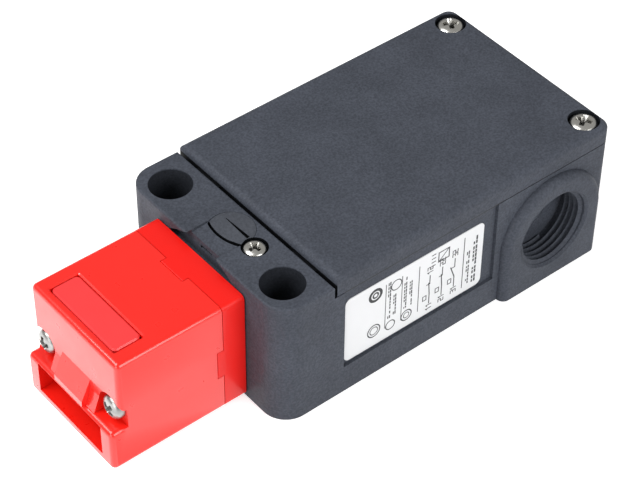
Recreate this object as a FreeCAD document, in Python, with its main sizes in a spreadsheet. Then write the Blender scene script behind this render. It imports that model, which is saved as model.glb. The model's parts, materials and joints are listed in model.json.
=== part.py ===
import FreeCAD, Part
import math
import os

import Sketcher
from FreeCAD import Placement, Rotation, Vector

# Tongue interlock switch with guard locking, in millimetres.
#
# Every size below is measured from the middle of the housing's front face, where the head
# is screwed on: X runs back along the housing, Z runs up from the mounting base, and the
# rating label is on the -Y side.  All pieces are then moved by `shift`, so that the part's
# own origin is the bottom centre of its overall box.

doc = FreeCAD.newDocument("TongueInterlock")
sheet = doc.addObject("Spreadsheet::Sheet", "Sizes")

SIZES = [
    # housing
    ("body_length", 97.0),
    ("body_width", 56.0),
    ("platform_rise", 3.4),
    ("platform_length", 14.6),
    ("parting_height", 31.1),
    ("wall", 2.8),
    ("floor_thickness", 3.0),
    ("front_block", 17.5),
    ("front_corner_radius", 6.2),
    ("rear_corner_radius", 2.8),
    ("platform_round", 0.5),
    ("panel_depth", 0.8),
    ("panel_front", 17.6),
    ("panel_margin", 1.85),
    ("panel_base", 7.8),
    # conduit entries
    ("conduit_setback", 17.95),
    ("conduit_height", 14.85),
    ("thread_radius", 10.0),
    ("thread_depth", 8.0),
    ("thread_lead_in", 0.6),
    ("boss_radius", 15.2),
    ("boss_protrusion", 2.1),
    ("boss_round", 2.0),
    ("socket_wall", 2.4),
    ("knockout_thickness", 1.5),
    # fixing holes
    ("mount_pitch", 40.0),
    ("mount_setback", 6.8),
    ("mount_hole_radius", 2.65),
    ("counterbore_radius", 5.1),
    ("counterbore_floor", 6.0),
    # head seat in the housing's front face
    ("axis_height", 16.3),
    ("seat_depth", 2.2),
    ("spigot_radius", 11.5),
    ("notch_radius", 18.9),
    ("notch_low", 29.5),
    ("notch_depth", 1.6),
    ("pry_slot_half", 2.0),
    ("pry_slot_low", 31.5),
    ("pry_slot_high", 32.5),
    ("pry_slot_depth", 1.6),
    # cover
    ("cover_depth", 5.1),
    ("cover_gap", 0.75),
    ("cover_plate", 2.5),
    ("cover_round", 1.5),
    ("cover_skirt_edge", 0.3),
    ("hinge_rise", 2.2),
    ("hinge_radius", 0.75),
    ("hinge_web", 1.0),
    ("hinge_inner", 13.0),
    ("hinge_outer", 21.0),
    ("gasket_inset", 0.8),
    ("gasket_width", 1.2),
    ("gasket_height", 0.8),
    ("cover_screw_setback", 4.4),
    ("cover_screw_offset", 22.9),
    ("cover_screw_reach", 9.2),
    ("cover_screw_swing", 0.55),
    ("post_radius", 4.4),
    ("post_hole_depth", 10.0),
    ("screw_head_radius", 3.3),
    ("screw_head_height", 2.0),
    ("screw_head_gap", 0.5),
    ("screw_radius", 1.6),
    # head
    ("head_length", 36.15),
    ("head_width", 31.8),
    ("head_bottom", 0.9),
    ("head_top", 31.7),
    ("head_gap", 0.3),
    ("head_round", 1.3),
    ("head_setback", 2.65),
    ("seal_inset", 2.0),
    ("seal_width", 1.6),
    ("lower_block_top", 12.3),
    ("pad_half", 5.2),
    ("pad_top", 19.3),
    ("pad_foot", 13.9),
    ("apron_half", 9.0),
    ("apron_top", 16.6),
    ("apron_foot", 1.0),
    ("parting_x", 6.3),
    ("tab_reach", 1.5),
    ("tab_half", 3.9),
    ("side_tab_height", 15.05),
    ("tab_gap", 0.15),
    ("slot_half", 11.9),
    ("slot_low", 3.3),
    ("slot_high", 11.6),
    ("slot_end", 9.0),
    ("slot_lead_in", 0.6),
    ("top_slot_front", 31.3),
    ("top_slot_rear", 23.8),
    ("top_slot_throat", 9.6),
    ("plug_gap", 0.2),
    ("plug_depth", 4.4),
    ("plug_round", 1.2),
    ("plug_edge", 0.35),
    ("plug_leg", 1.2),
    ("plug_leg_reach", 2.4),
    ("head_screw_offset", 12.2),
    ("head_screw_seat", 31.6),
    ("head_screw_head_radius", 2.95),
    ("head_screw_head_height", 2.5),
    ("head_pocket_radius", 4.0),
    ("head_screw_reach", 10.0),
    ("chamber_half", 8.5),
    ("chamber_front", 29.0),
    ("chamber_low", 5.0),
    ("chamber_high", 28.5),
    ("base_hollow", 4.0),
    ("base_hollow_low", 8.0),
    ("base_hollow_high", 25.5),
    # cam and plunger in the head
    ("cam_x", 18.7),
    ("cam_radius", 8.5),
    ("cam_half", 5.5),
    ("cam_hub_radius", 3.6),
    ("cam_hub_half", 5.9),
    ("cam_notch_width", 3.4),
    ("cam_notch_root", 4.6),
    ("axle_radius", 2.0),
    ("axle_half", 9.9),
    ("pin_radius", 1.2),
    ("pin_crank", 4.0),
    ("pin_half", 7.7),
    ("yoke_inner", 6.2),
    ("yoke_outer", 7.6),
    ("yoke_low", 18.6),
    ("yoke_high", 23.8),
    ("yoke_web", 2.1),
    ("yoke_bridge", 1.4),
    ("yoke_bridge_low", 12.5),
    ("yoke_rear", 4.4),
    ("pin_play", 0.15),
    # push rod through the front wall
    ("rod_radius", 3.0),
    ("rod_joint", 2.6),
    ("bush_radius", 4.4),
    ("collar_x", 34.0),
    ("collar_thickness", 1.2),
    ("collar_radius", 6.5),
    ("stem_radius", 2.4),
    ("running_gap", 0.05),
    ("fit_gap", 0.05),
    # locking solenoid
    ("bolt_thickness", 2.2),
    ("bolt_gap", 0.3),
    ("bolt_half", 3.0),
    ("bolt_tip", 6.9),
    ("bolt_depth", 1.1),
    ("solenoid_half", 10.0),
    ("solenoid_near", 8.2),
    ("solenoid_far", 22.2),
    ("solenoid_low", 6.0),
    ("solenoid_high", 26.6),
    ("frame_plate", 1.4),
    ("bobbin_bore", 3.75),
    ("bobbin_tube", 0.8),
    ("bobbin_flange", 8.5),
    ("bobbin_flange_thickness", 1.0),
    ("winding_inset", 0.5),
    ("armature_radius", 3.6),
    ("armature_rear", 20.4),
    ("armature_shoulder", 14.5),
    ("armature_stem", 1.25),
    ("coil_block_height", 5.0),
    ("coil_block_half", 4.6),
    # auxiliary release
    ("release_x", 8.3),
    ("cap_radius", 5.55),
    ("cap_thickness", 2.2),
    ("cap_gap", 0.1),
    ("cap_front_radius", 12.0),
    ("cap_front_x", 17.7),
    ("cap_front_y", 1.2),
    ("crescent", 0.7),
    ("crescent_shift", 0.35),
    ("ramp_x", 9.7),
    ("ramp_drop", 0.8),
    ("ramp_half", 5.3),
    ("slit_depth", 0.9),
    ("release_screw_x", 9.0),
    ("release_screw_y", 7.6),
    ("release_recess_radius", 3.1),
    ("release_recess_depth", 1.4),
    ("release_head_radius", 2.65),
    ("release_head_height", 1.6),
    ("release_screw_radius", 1.25),
    ("release_screw_length", 5.5),
    ("spindle_head_radius", 4.3),
    ("spindle_head_height", 2.2),
    ("spindle_radius", 3.3),
    ("spindle_length", 3.0),
    ("spindle_slot", 1.2),
    ("crank_radius", 1.0),
    ("crank_throw", 2.26),
    ("crank_length", 2.2),
    ("crank_play", 0.15),
    ("link_drop", 9.9),
    ("link_thickness", 1.2),
    ("link_reach", 1.2),
    ("link_room", 0.6),
    ("lock_travel", 3.2),
    ("cam_travel", 4.0),
    # contact block
    ("block_front", 45.0),
    ("block_length", 23.0),
    ("block_half", 14.5),
    ("block_rail", 10.2),
    ("block_base", 2.5),
    ("block_height", 22.0),
    ("block_wall", 1.5),
    ("carriage_half", 3.6),
    ("carriage_low", 12.5),
    ("carriage_high", 20.0),
    ("carriage_gap", 0.4),
    ("carriage_front", 48.0),
    ("carriage_rear", 66.4),
    ("bridge_first", 51.6),
    ("bridge_pitch", 6.0),
    ("bridge_thickness", 0.8),
    ("bridge_half", 9.6),
    ("bridge_low", 15.0),
    ("bridge_high", 17.6),
    ("bridge_window", 2.2),
    ("strip_thickness", 0.7),
    ("strip_inner", 7.4),
    ("strip_gap", 0.3),
    ("terminal_offset", 12.3),
    ("terminal_screw_radius", 1.3),
    ("terminal_head_radius", 2.3),
    ("terminal_head_height", 1.6),
    ("terminal_screw_reach", 6.0),
    ("clamp_half", 2.3),
    ("clamp_thickness", 0.8),
    ("rear_stem_radius", 1.9),
    ("rear_stem_end", 78.0),
    ("clip_radius", 3.4),
    ("clip_thickness", 0.8),
    ("clip_setback", 0.6),
    ("spring_wire", 0.3),
    ("spring_turns", 6.0),
    ("ear_length", 4.6),
    ("ear_height", 2.6),
    ("earth_x", 80.5),
    ("earth_y", 13.0),
    ("earth_clamp_half", 3.0),
    # label
    ("label_inset", 0.6),
    ("label_margin", 3.4),
    ("label_low", 8.4),
    ("label_height", 19.1),
    ("label_thickness", 0.15),
    ("label_corner", 1.5),
]


class Size:
    """A length that knows its number and the sheet expression that gives it."""

    def __init__(self, text, value):
        self.text = text
        self.value = value

    def joined(self, sign, other, value):
        return Size(f"({self.text} {sign} {other.text})", value)

    def __add__(self, other):
        other = as_size(other)
        return self.joined("+", other, self.value + other.value)

    def __sub__(self, other):
        other = as_size(other)
        return self.joined("-", other, self.value - other.value)

    def __mul__(self, other):
        other = as_size(other)
        return self.joined("*", other, self.value * other.value)

    def __truediv__(self, other):
        other = as_size(other)
        return self.joined("/", other, self.value / other.value)

    def __radd__(self, other):
        return as_size(other) + self

    def __rsub__(self, other):
        return as_size(other) - self

    def __rmul__(self, other):
        return as_size(other) * self

    def __neg__(self):
        return as_size(0.0) - self


def as_size(value):
    if isinstance(value, Size):
        return value
    return Size(f"({value:.9g})", float(value))


class SizeTable:
    """The sheet's cells as attributes, so that s.wall is the wall's Size."""

    def __init__(self, rows):
        for row, (alias, value) in enumerate(rows, 1):
            sheet.set(f"A{row}", alias)
            sheet.set(f"B{row}", str(value))
            sheet.setAlias(f"B{row}", alias)
            setattr(self, alias, Size(f"Sizes.{alias}", value))


s = SizeTable(SIZES)
doc.recompute()

zero = as_size(0.0)
half_width = s.body_width / 2
shift = (s.head_length - s.body_length) / 2
head_half = s.head_width / 2
conduit_x = s.body_length - s.conduit_setback
platform_top = s.parting_height + s.platform_rise
cover_top = s.parting_height + s.cover_depth
hinge_z = s.parting_height + s.hinge_rise
link_low = platform_top - s.link_drop
panel_rear = conduit_x - s.boss_radius - s.panel_margin
label_front = s.panel_front + s.label_inset
label_rear = panel_rear - s.label_margin
seal_outer = s.spigot_radius - s.seal_inset
seal_inner = seal_outer - s.seal_width
mount_y = s.mount_pitch / 2
screw_x = s.body_length - s.cover_screw_setback
cover_front = s.platform_length + s.cover_gap
cover_underside = cover_top - s.cover_plate
nodes = []
BOTH = (-1, 1)
X_AXIS = Vector(1, 0, 0)
Y_AXIS = Vector(0, 1, 0)
Z_AXIS = Vector(0, 0, 1)


def bind(target, name, size):
    target.setExpression(name, as_size(size).text)


def node(target, label):
    """Names a finished sub-part; its label is also its file's name."""
    target.Label = label
    nodes.append(target)
    return target


def span(a, b, side=1):
    """A low and high pair, mirrored to the other side where side is -1."""
    if side > 0:
        return a, b
    return -as_size(b), -as_size(a)


# Sketch outlines, pinned to the sketch's origin by the sheet's sizes.

def flat(point):
    return Vector(as_size(point[0]).value, as_size(point[1]).value, 0)


def dimension(sketch, constraint, size):
    index = sketch.addConstraint(constraint)
    bind(sketch, f"Constraints[{index}]", size)


def pin(sketch, geometry, end, point):
    spot = flat(point)
    for kind, value, size in (("DistanceX", spot.x, point[0]), ("DistanceY", spot.y, point[1])):
        dimension(sketch, Sketcher.Constraint(kind, -1, 1, geometry, end, value), size)


def polygon(sketch, points):
    first = sketch.GeometryCount
    count = len(points)
    for index, point in enumerate(points):
        following = points[(index + 1) % count]
        sketch.addGeometry(Part.LineSegment(flat(point), flat(following)), False)
    for index, point in enumerate(points):
        following = first + (index + 1) % count
        sketch.addConstraint(Sketcher.Constraint("Coincident", first + index, 2, following, 1))
        pin(sketch, first + index, 1, point)


def rectangle(sketch, across, up):
    polygon(sketch, [(across[0], up[0]), (across[1], up[0]), (across[1], up[1]), (across[0], up[1])])


def circle(sketch, centre, radius):
    radius = as_size(radius)
    ring = sketch.addGeometry(Part.Circle(flat(centre), Z_AXIS, radius.value), False)
    pin(sketch, ring, 3, centre)
    dimension(sketch, Sketcher.Constraint("Radius", ring, radius.value), radius)


def arch(sketch, centre, radius, foot):
    """A round-topped doorway shape whose straight sides run down to foot."""
    left = centre[0] - radius
    right = centre[0] + radius
    round_top = Part.ArcOfCircle(Part.Circle(flat(centre), Z_AXIS, radius.value), 0, math.pi)
    corners = [(left, centre[1]), (left, foot), (right, foot), (right, centre[1])]
    top = sketch.addGeometry(round_top, False)
    lines = []
    for start, end in zip(corners, corners[1:]):
        lines.append(sketch.addGeometry(Part.LineSegment(flat(start), flat(end)), False))
    sketch.addConstraint(Sketcher.Constraint("Tangent", top, 2, lines[0], 1))
    sketch.addConstraint(Sketcher.Constraint("Coincident", lines[0], 2, lines[1], 1))
    sketch.addConstraint(Sketcher.Constraint("Coincident", lines[1], 2, lines[2], 1))
    sketch.addConstraint(Sketcher.Constraint("Tangent", lines[2], 2, top, 1))
    sketch.addConstraint(Sketcher.Constraint("Horizontal", lines[1]))
    pin(sketch, top, 3, centre)
    dimension(sketch, Sketcher.Constraint("Radius", top, radius.value), radius)
    foot = as_size(foot)
    dimension(sketch, Sketcher.Constraint("DistanceY", -1, 1, lines[1], 1, foot.value), foot)


def lens(sketch, centre, radius, other_centre, other_radius):
    """The overlap of two discs."""
    first = Part.Circle(flat(centre), Z_AXIS, radius.value)
    second = Part.Circle(flat(other_centre), Z_AXIS, other_radius.value)
    apart = flat(other_centre) - flat(centre)
    reach = (radius.value**2 - other_radius.value**2 + apart.Length**2) / (2 * apart.Length)
    half_angle = math.acos(reach / radius.value)
    towards = math.atan2(apart.y, apart.x)
    start = towards - half_angle
    end = towards + half_angle
    upper = first.value(end) - flat(other_centre)
    lower = first.value(start) - flat(other_centre)
    other_start = math.atan2(upper.y, upper.x)
    other_end = math.atan2(lower.y, lower.x)
    rear = sketch.addGeometry(Part.ArcOfCircle(first, start, end), False)
    front = sketch.addGeometry(Part.ArcOfCircle(second, other_start, other_end), False)
    sketch.addConstraint(Sketcher.Constraint("Coincident", rear, 2, front, 1))
    sketch.addConstraint(Sketcher.Constraint("Coincident", front, 2, rear, 1))
    pin(sketch, rear, 3, centre)
    pin(sketch, front, 3, other_centre)
    dimension(sketch, Sketcher.Constraint("Radius", rear, radius.value), radius)
    dimension(sketch, Sketcher.Constraint("Radius", front, other_radius.value), other_radius)


def segment(sketch, centre, radius, low):
    """The part of a disc above the given height."""
    rise = as_size(low).value - as_size(centre[1]).value
    half_angle = math.acos(rise / radius.value)
    full = Part.Circle(flat(centre), Z_AXIS, radius.value)
    start = math.pi / 2 - half_angle
    end = math.pi / 2 + half_angle
    arc = sketch.addGeometry(Part.ArcOfCircle(full, start, end), False)
    ends = [full.value(angle) for angle in (start, end)]
    chord = sketch.addGeometry(Part.LineSegment(ends[1], ends[0]), False)
    sketch.addConstraint(Sketcher.Constraint("Coincident", arc, 2, chord, 1))
    sketch.addConstraint(Sketcher.Constraint("Coincident", chord, 2, arc, 1))
    pin(sketch, arc, 3, centre)
    dimension(sketch, Sketcher.Constraint("Radius", arc, radius.value), radius)
    sketch.addConstraint(Sketcher.Constraint("Horizontal", chord))
    dimension(sketch, Sketcher.Constraint("DistanceY", arc, 3, chord, 1, rise), low - centre[1])


# PartDesign features.

def new_body(label):
    body = doc.addObject("PartDesign::Body", label)
    bind(body, "Placement.Base.x", shift)
    return node(body, label)


def extrude(body, kind, name, plane, levels, draw):
    """A Pad or Pocket between two levels along the plane's own axis."""
    low, high = levels
    forward = kind == "Pad"
    if plane == "XZ_Plane":
        offset = -as_size(high if forward else low)
    else:
        offset = as_size(low if forward else high)
    sketch = body.newObject("Sketcher::SketchObject", name + "Sketch")
    origin_planes = [item for item in body.Origin.OriginFeatures if item.Role == plane]
    sketch.AttachmentSupport = [(origin_planes[0], "")]
    sketch.MapMode = "FlatFace"
    bind(sketch, "AttachmentOffset.Base.z", offset)
    draw(sketch)
    feature = body.newObject("PartDesign::" + kind, name)
    feature.Profile = sketch
    bind(feature, "Length", as_size(high) - low)
    return feature


def straight(edge, axis):
    """True for a straight edge that runs along axis."""
    if edge.Curve.TypeId != "Part::GeomLine":
        return False
    return abs(abs(edge.Curve.Direction.dot(axis)) - 1) < 1e-6


def near(edge, x=None, y=None, z=None):
    """True where the edge's middle has the given coordinates."""
    middle = edge.CenterOfMass
    for have, wanted in ((middle.x, x), (middle.y, y), (middle.z, z)):
        if wanted is not None and abs(have - as_size(wanted).value) > 1e-3:
            return False
    return True


def dress(body, kind, name, size_name, size, test):
    """A Fillet or Chamfer on each edge of the body so far that passes test."""
    doc.recompute()
    base = body.Tip
    edges = [f"Edge{index}" for index, edge in enumerate(base.Shape.Edges, 1) if test(edge)]
    if not edges:
        raise ValueError(f"{name} finds no edge")
    feature = body.newObject("PartDesign::" + kind, name)
    feature.Base = (base, edges)
    bind(feature, size_name, size)


def fillet(body, name, radius, test):
    dress(body, "Fillet", name, "Radius", radius, test)


def chamfer(body, name, size, test):
    dress(body, "Chamfer", name, "Size", size, test)


# Part primitives and booleans.

def place(target, x, y, z):
    bind(target, "Placement.Base.x", shift + x)
    bind(target, "Placement.Base.y", y)
    bind(target, "Placement.Base.z", z)


def block(x, y, z, name="Block"):
    solid = doc.addObject("Part::Box", name)
    for side, (low, high) in (("Length", x), ("Width", y), ("Height", z)):
        bind(solid, side, as_size(high) - low)
    place(solid, as_size(x[0]), y[0], z[0])
    return solid


TURNS = {
    "X": Rotation(Y_AXIS, 90),
    "Y": Rotation(X_AXIS, -90),
    "Z": Rotation(),
}


def along(axis, levels, centre):
    """The start point of a round solid on axis: centre gives the other two coordinates."""
    start = as_size(levels[0])
    if axis == "X":
        return start, centre[0], centre[1]
    if axis == "Y":
        return as_size(centre[0]), start, centre[1]
    return as_size(centre[0]), centre[1], start


def cylinder(axis, levels, centre, radius, name="Round"):
    solid = doc.addObject("Part::Cylinder", name)
    solid.Placement = Placement(Vector(), TURNS[axis])
    bind(solid, "Radius", radius)
    bind(solid, "Height", as_size(levels[1]) - levels[0])
    place(solid, *along(axis, levels, centre))
    return solid


def cone(axis, levels, centre, radius, end_radius, name="Taper"):
    solid = doc.addObject("Part::Cone", name)
    solid.Placement = Placement(Vector(), TURNS[axis])
    bind(solid, "Radius1", radius)
    bind(solid, "Radius2", end_radius)
    bind(solid, "Height", as_size(levels[1]) - levels[0])
    place(solid, *along(axis, levels, centre))
    return solid


def fuse(*solids):
    joined = doc.addObject("Part::MultiFuse", "Fuse")
    joined.Shapes = list(solids)
    return joined


def cut(base, *tools):
    result = doc.addObject("Part::Cut", "Cut")
    result.Base = base
    result.Tool = tools[0] if len(tools) == 1 else fuse(*tools)
    return result


def group(*solids):
    together = doc.addObject("Part::Compound", "Group")
    together.Links = list(solids)
    return together


def ring(axis, levels, centre, radius, bore):
    return cut(cylinder(axis, levels, centre, radius), cylinder(axis, levels, centre, bore))


def pan_screw(axis, seat, tip, centre, head_radius, head_height, shank_radius):
    """A pan-head screw: tip is the shank's end, on either side of the seat."""
    upward = as_size(tip).value < as_size(seat).value
    head_end = seat + head_height if upward else seat - head_height
    crown = head_height * 0.45
    rim = head_radius * 0.72
    if upward:
        body = cylinder(axis, (seat, head_end - crown), centre, head_radius)
        top = cone(axis, (head_end - crown, head_end), centre, head_radius, rim)
        shank = cylinder(axis, (tip, seat), centre, shank_radius)
    else:
        body = cylinder(axis, (head_end + crown, seat), centre, head_radius)
        top = cone(axis, (head_end, head_end + crown), centre, rim, head_radius)
        shank = cylinder(axis, (seat, tip), centre, shank_radius)
    return fuse(body, top, shank)


def coil(axis, levels, centre, radius, wire, turns, name):
    """A compression spring as a wire swept along a helix."""
    low = as_size(levels[0]).value + wire.value
    high = as_size(levels[1]).value - wire.value
    path = Part.makeHelix((high - low) / turns.value, high - low, radius.value)
    start = Vector(radius.value, 0, 0)
    section = Part.Wire([Part.makeCircle(wire.value, start, Y_AXIS)])
    solid = Part.Wire(path).makePipeShell([section], True, True)
    x, y, z = along(axis, (low, high), centre)
    solid.Placement = Placement(
        Vector((shift + x).value, as_size(y).value, as_size(z).value), TURNS[axis])
    spring = doc.addObject("Part::Feature", name)
    spring.Shape = solid
    return spring


# Housing: an open-topped moulding with a solid front block, one entry on each side and one
# at the rear, each closed by a knock-out skin until it is wanted.

def make_housing():
    body = new_body("housing")
    front_top = platform_top
    outline = [
        (zero, zero),
        (s.body_length, zero),
        (s.body_length, s.parting_height),
        (s.platform_length, s.parting_height),
        (s.platform_length, front_top),
        (zero, front_top),
    ]
    across = (-half_width, half_width)
    extrude(body, "Pad", "Block", "XZ_Plane", across, lambda k: polygon(k, outline))
    fillet(body, "FrontCorners", s.front_corner_radius,
           lambda edge: straight(edge, Z_AXIS) and near(edge, x=0))
    fillet(body, "RearCorners", s.rear_corner_radius,
           lambda edge: straight(edge, Z_AXIS) and near(edge, x=s.body_length))
    fillet(body, "PlatformRim", s.platform_round, lambda edge: near(edge, z=front_top))

    for side in BOTH:
        name = "Left" if side > 0 else "Right"
        panel = span(half_width - s.panel_depth, half_width, side)
        extrude(body, "Pocket", name + "Panel", "XZ_Plane", panel,
                lambda k: rectangle(k, (s.panel_front, panel_rear),
                                    (s.panel_base, s.parting_height)))
        boss = span(half_width - s.panel_depth, half_width + s.boss_protrusion, side)
        extrude(body, "Pad", name + "Boss", "XZ_Plane", boss,
                lambda k: arch(k, (conduit_x, s.conduit_height), s.boss_radius, zero))
        face = half_width.value + s.boss_protrusion.value
        fillet(body, name + "BossRound", s.boss_round,
               lambda edge: near(edge, y=side * face) and not near(edge, z=0))

    inner_half = half_width - s.wall
    inner_end = s.body_length - s.wall
    extrude(body, "Pocket", "Cavity", "XY_Plane", (s.floor_thickness, s.parting_height),
            lambda k: rectangle(k, (s.front_block, inner_end), (-inner_half, inner_half)))
    make_cover_posts(body, inner_half)
    make_conduits(body, inner_half)
    make_front_face(body)
    make_release_well(body)
    make_mounting_holes(body)
    for side in BOTH:
        name = "Left" if side > 0 else "Right"
        lug = span(s.hinge_inner - s.fit_gap * 4, s.hinge_outer + s.fit_gap * 4, side)
        extrude(body, "Pocket", name + "HingeSocket", "XZ_Plane", lug,
                lambda k: circle(k, (s.platform_length + s.fit_gap * 2, hinge_z),
                                 s.hinge_radius + s.running_gap * 1.5))
    make_inside_bosses(body)


def make_cover_posts(body, inner_half):
    for side in BOTH:
        name = "Left" if side > 0 else "Right"
        spot = (screw_x, side * s.cover_screw_offset)
        extrude(body, "Pad", name + "Post", "XY_Plane", (s.floor_thickness / 2, s.parting_height),
                lambda k: circle(k, spot, s.post_radius))
        hole = (s.parting_height - s.post_hole_depth, s.parting_height)
        extrude(body, "Pocket", name + "PostHole", "XY_Plane", hole,
                lambda k: circle(k, spot, s.screw_radius + s.cover_screw_swing))


def make_conduits(body, inner_half):
    socket_radius = s.thread_radius + s.socket_wall
    depth = s.thread_depth + s.knockout_thickness
    face = half_width + s.boss_protrusion
    for side in BOTH:
        name = "Left" if side > 0 else "Right"
        centre = (conduit_x, s.conduit_height)
        extrude(body, "Pad", name + "Socket", "XZ_Plane", span(face - depth, inner_half + 0.5, side),
                lambda k: circle(k, centre, socket_radius))
        extrude(body, "Pocket", name + "Thread", "XZ_Plane", span(face - s.thread_depth, face, side),
                lambda k: circle(k, centre, s.thread_radius))
    centre = (zero, s.conduit_height)
    rear = s.body_length
    extrude(body, "Pad", "RearSocket", "YZ_Plane", (rear - depth, rear - s.wall + 0.5),
            lambda k: circle(k, centre, socket_radius))
    extrude(body, "Pocket", "RearThread", "YZ_Plane", (rear - s.thread_depth, rear),
            lambda k: circle(k, centre, s.thread_radius))
    mouths = (-face.value, face.value)

    def is_mouth(edge):
        if edge.Curve.TypeId != "Part::GeomCircle":
            return False
        if abs(edge.Curve.Radius - s.thread_radius.value) > 1e-6:
            return False
        return near(edge, x=rear) or any(near(edge, y=mouth) for mouth in mouths)

    chamfer(body, "ThreadLeadIn", s.thread_lead_in, is_mouth)


def make_front_face(body):
    axis = (zero, s.axis_height)
    extrude(body, "Pocket", "HeadSeat", "YZ_Plane", (zero, s.seat_depth),
            lambda k: circle(k, axis, s.spigot_radius + s.running_gap * 2))
    extrude(body, "Pocket", "TopNotch", "YZ_Plane", (zero, s.notch_depth),
            lambda k: segment(k, axis, s.notch_radius, s.notch_low))
    extrude(body, "Pocket", "BushBore", "YZ_Plane", (zero, s.front_block + 0.5),
            lambda k: circle(k, axis, s.bush_radius + s.fit_gap))
    for side in BOTH:
        spot = (side * s.head_screw_offset, s.axis_height)
        extrude(body, "Pocket", "HeadScrewHole", "YZ_Plane", (zero, s.head_screw_reach + 1),
                lambda k: circle(k, spot, s.screw_radius + s.fit_gap))
    slot = (s.notch_depth - 0.5, s.notch_depth + s.pry_slot_depth)
    extrude(body, "Pocket", "PrySlot", "YZ_Plane", slot,
            lambda k: rectangle(k, (-s.pry_slot_half, s.pry_slot_half),
                                (s.pry_slot_low, s.pry_slot_high)))


def make_release_well(body):
    """The ramp, the cap's well, the spindle's stepped bore and the room for the link."""
    top = platform_top
    ramp = [(s.ramp_x, top), (zero, top - s.ramp_drop), (zero, top + 1), (s.ramp_x, top + 1)]
    extrude(body, "Pocket", "Ramp", "XZ_Plane", (-s.ramp_half, s.ramp_half),
            lambda k: polygon(k, ramp))
    cap_floor = top - s.cap_thickness
    extrude(body, "Pocket", "CapWell", "XY_Plane", (cap_floor, top),
            lambda k: lens(k, (s.release_x, zero), s.cap_radius + s.cap_gap,
                           (s.cap_front_x, s.cap_front_y - s.crescent_shift),
                           s.cap_front_radius + s.crescent))
    spot = (s.release_screw_x, -s.release_screw_y)
    recess_floor = top - s.release_recess_depth
    extrude(body, "Pocket", "ScrewRecess", "XY_Plane", (recess_floor, top),
            lambda k: circle(k, spot, s.release_recess_radius))
    hole = (recess_floor - s.release_screw_length - 0.5, recess_floor)
    extrude(body, "Pocket", "ScrewHole", "XY_Plane", hole,
            lambda k: circle(k, spot, s.release_screw_radius + s.running_gap))
    spot = (s.release_x, zero)
    head_floor = cap_floor - s.bolt_gap - s.spindle_head_height
    room_high = head_floor - s.spindle_length
    extrude(body, "Pocket", "SpindleHead", "XY_Plane", (head_floor, cap_floor),
            lambda k: circle(k, spot, s.spindle_head_radius + s.running_gap * 2))
    extrude(body, "Pocket", "SpindleBore", "XY_Plane", (room_high, head_floor),
            lambda k: circle(k, spot, s.spindle_radius + s.running_gap))
    across = (-s.solenoid_near - s.link_room, s.link_reach + s.lock_travel + s.link_room)
    extrude(body, "Pocket", "LinkRoom", "XY_Plane", (link_low - s.link_room, room_high),
            lambda k: rectangle(k, (s.release_x - s.spindle_radius - s.running_gap,
                                    s.front_block + 0.5), across))


def make_mounting_holes(body):
    for side in BOTH:
        spot = (s.mount_setback, side * mount_y)
        extrude(body, "Pocket", "Counterbore", "XY_Plane",
                (s.counterbore_floor, platform_top),
                lambda k: circle(k, spot, s.counterbore_radius))
        extrude(body, "Pocket", "MountHole", "XY_Plane", (zero, s.counterbore_floor),
                lambda k: circle(k, spot, s.mount_hole_radius))


def make_inside_bosses(body):
    """Pads on the floor that the solenoid, contact block and earth terminal are screwed to."""
    base = s.floor_thickness - 0.5
    for x in solenoid_screw_places():
        low = s.solenoid_low
        extrude(body, "Pad", "SolenoidPost", "XY_Plane", (base, low),
                lambda k: circle(k, (x, -(s.solenoid_near + s.solenoid_far) / 2), 3.2))
        extrude(body, "Pocket", "SolenoidHole", "XY_Plane", (s.floor_thickness, low),
                lambda k: circle(k, (x, -(s.solenoid_near + s.solenoid_far) / 2),
                                 s.release_screw_radius + s.fit_gap))
    extrude(body, "Pad", "EarthPost", "XY_Plane", (base, s.floor_thickness + s.ear_height),
            lambda k: circle(k, (s.earth_x, s.earth_y), 3.4))
    extrude(body, "Pocket", "EarthHole", "XY_Plane",
            (s.floor_thickness / 3, s.floor_thickness + s.ear_height),
            lambda k: circle(k, (s.earth_x, s.earth_y), s.terminal_screw_radius + s.fit_gap))
    for side in BOTH:
        extrude(body, "Pocket", "BlockScrewHole", "XY_Plane", (s.floor_thickness / 3, s.floor_thickness),
                lambda k: circle(k, (block_rear() + s.ear_length / 2, side * s.terminal_offset),
                                 s.terminal_screw_radius + s.fit_gap))


def solenoid_x():
    """The solenoid is centred on the bolt, which stands just ahead of the rod's collar."""
    return s.collar_x - s.bolt_gap - s.bolt_thickness / 2


def solenoid_screw_places():
    inset = s.solenoid_half - 3.4
    return solenoid_x() - inset, solenoid_x() + inset


def block_rear():
    return s.block_front + s.block_length


# Cover: hooked in at the front, screwed down at its two rear corners.

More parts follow.
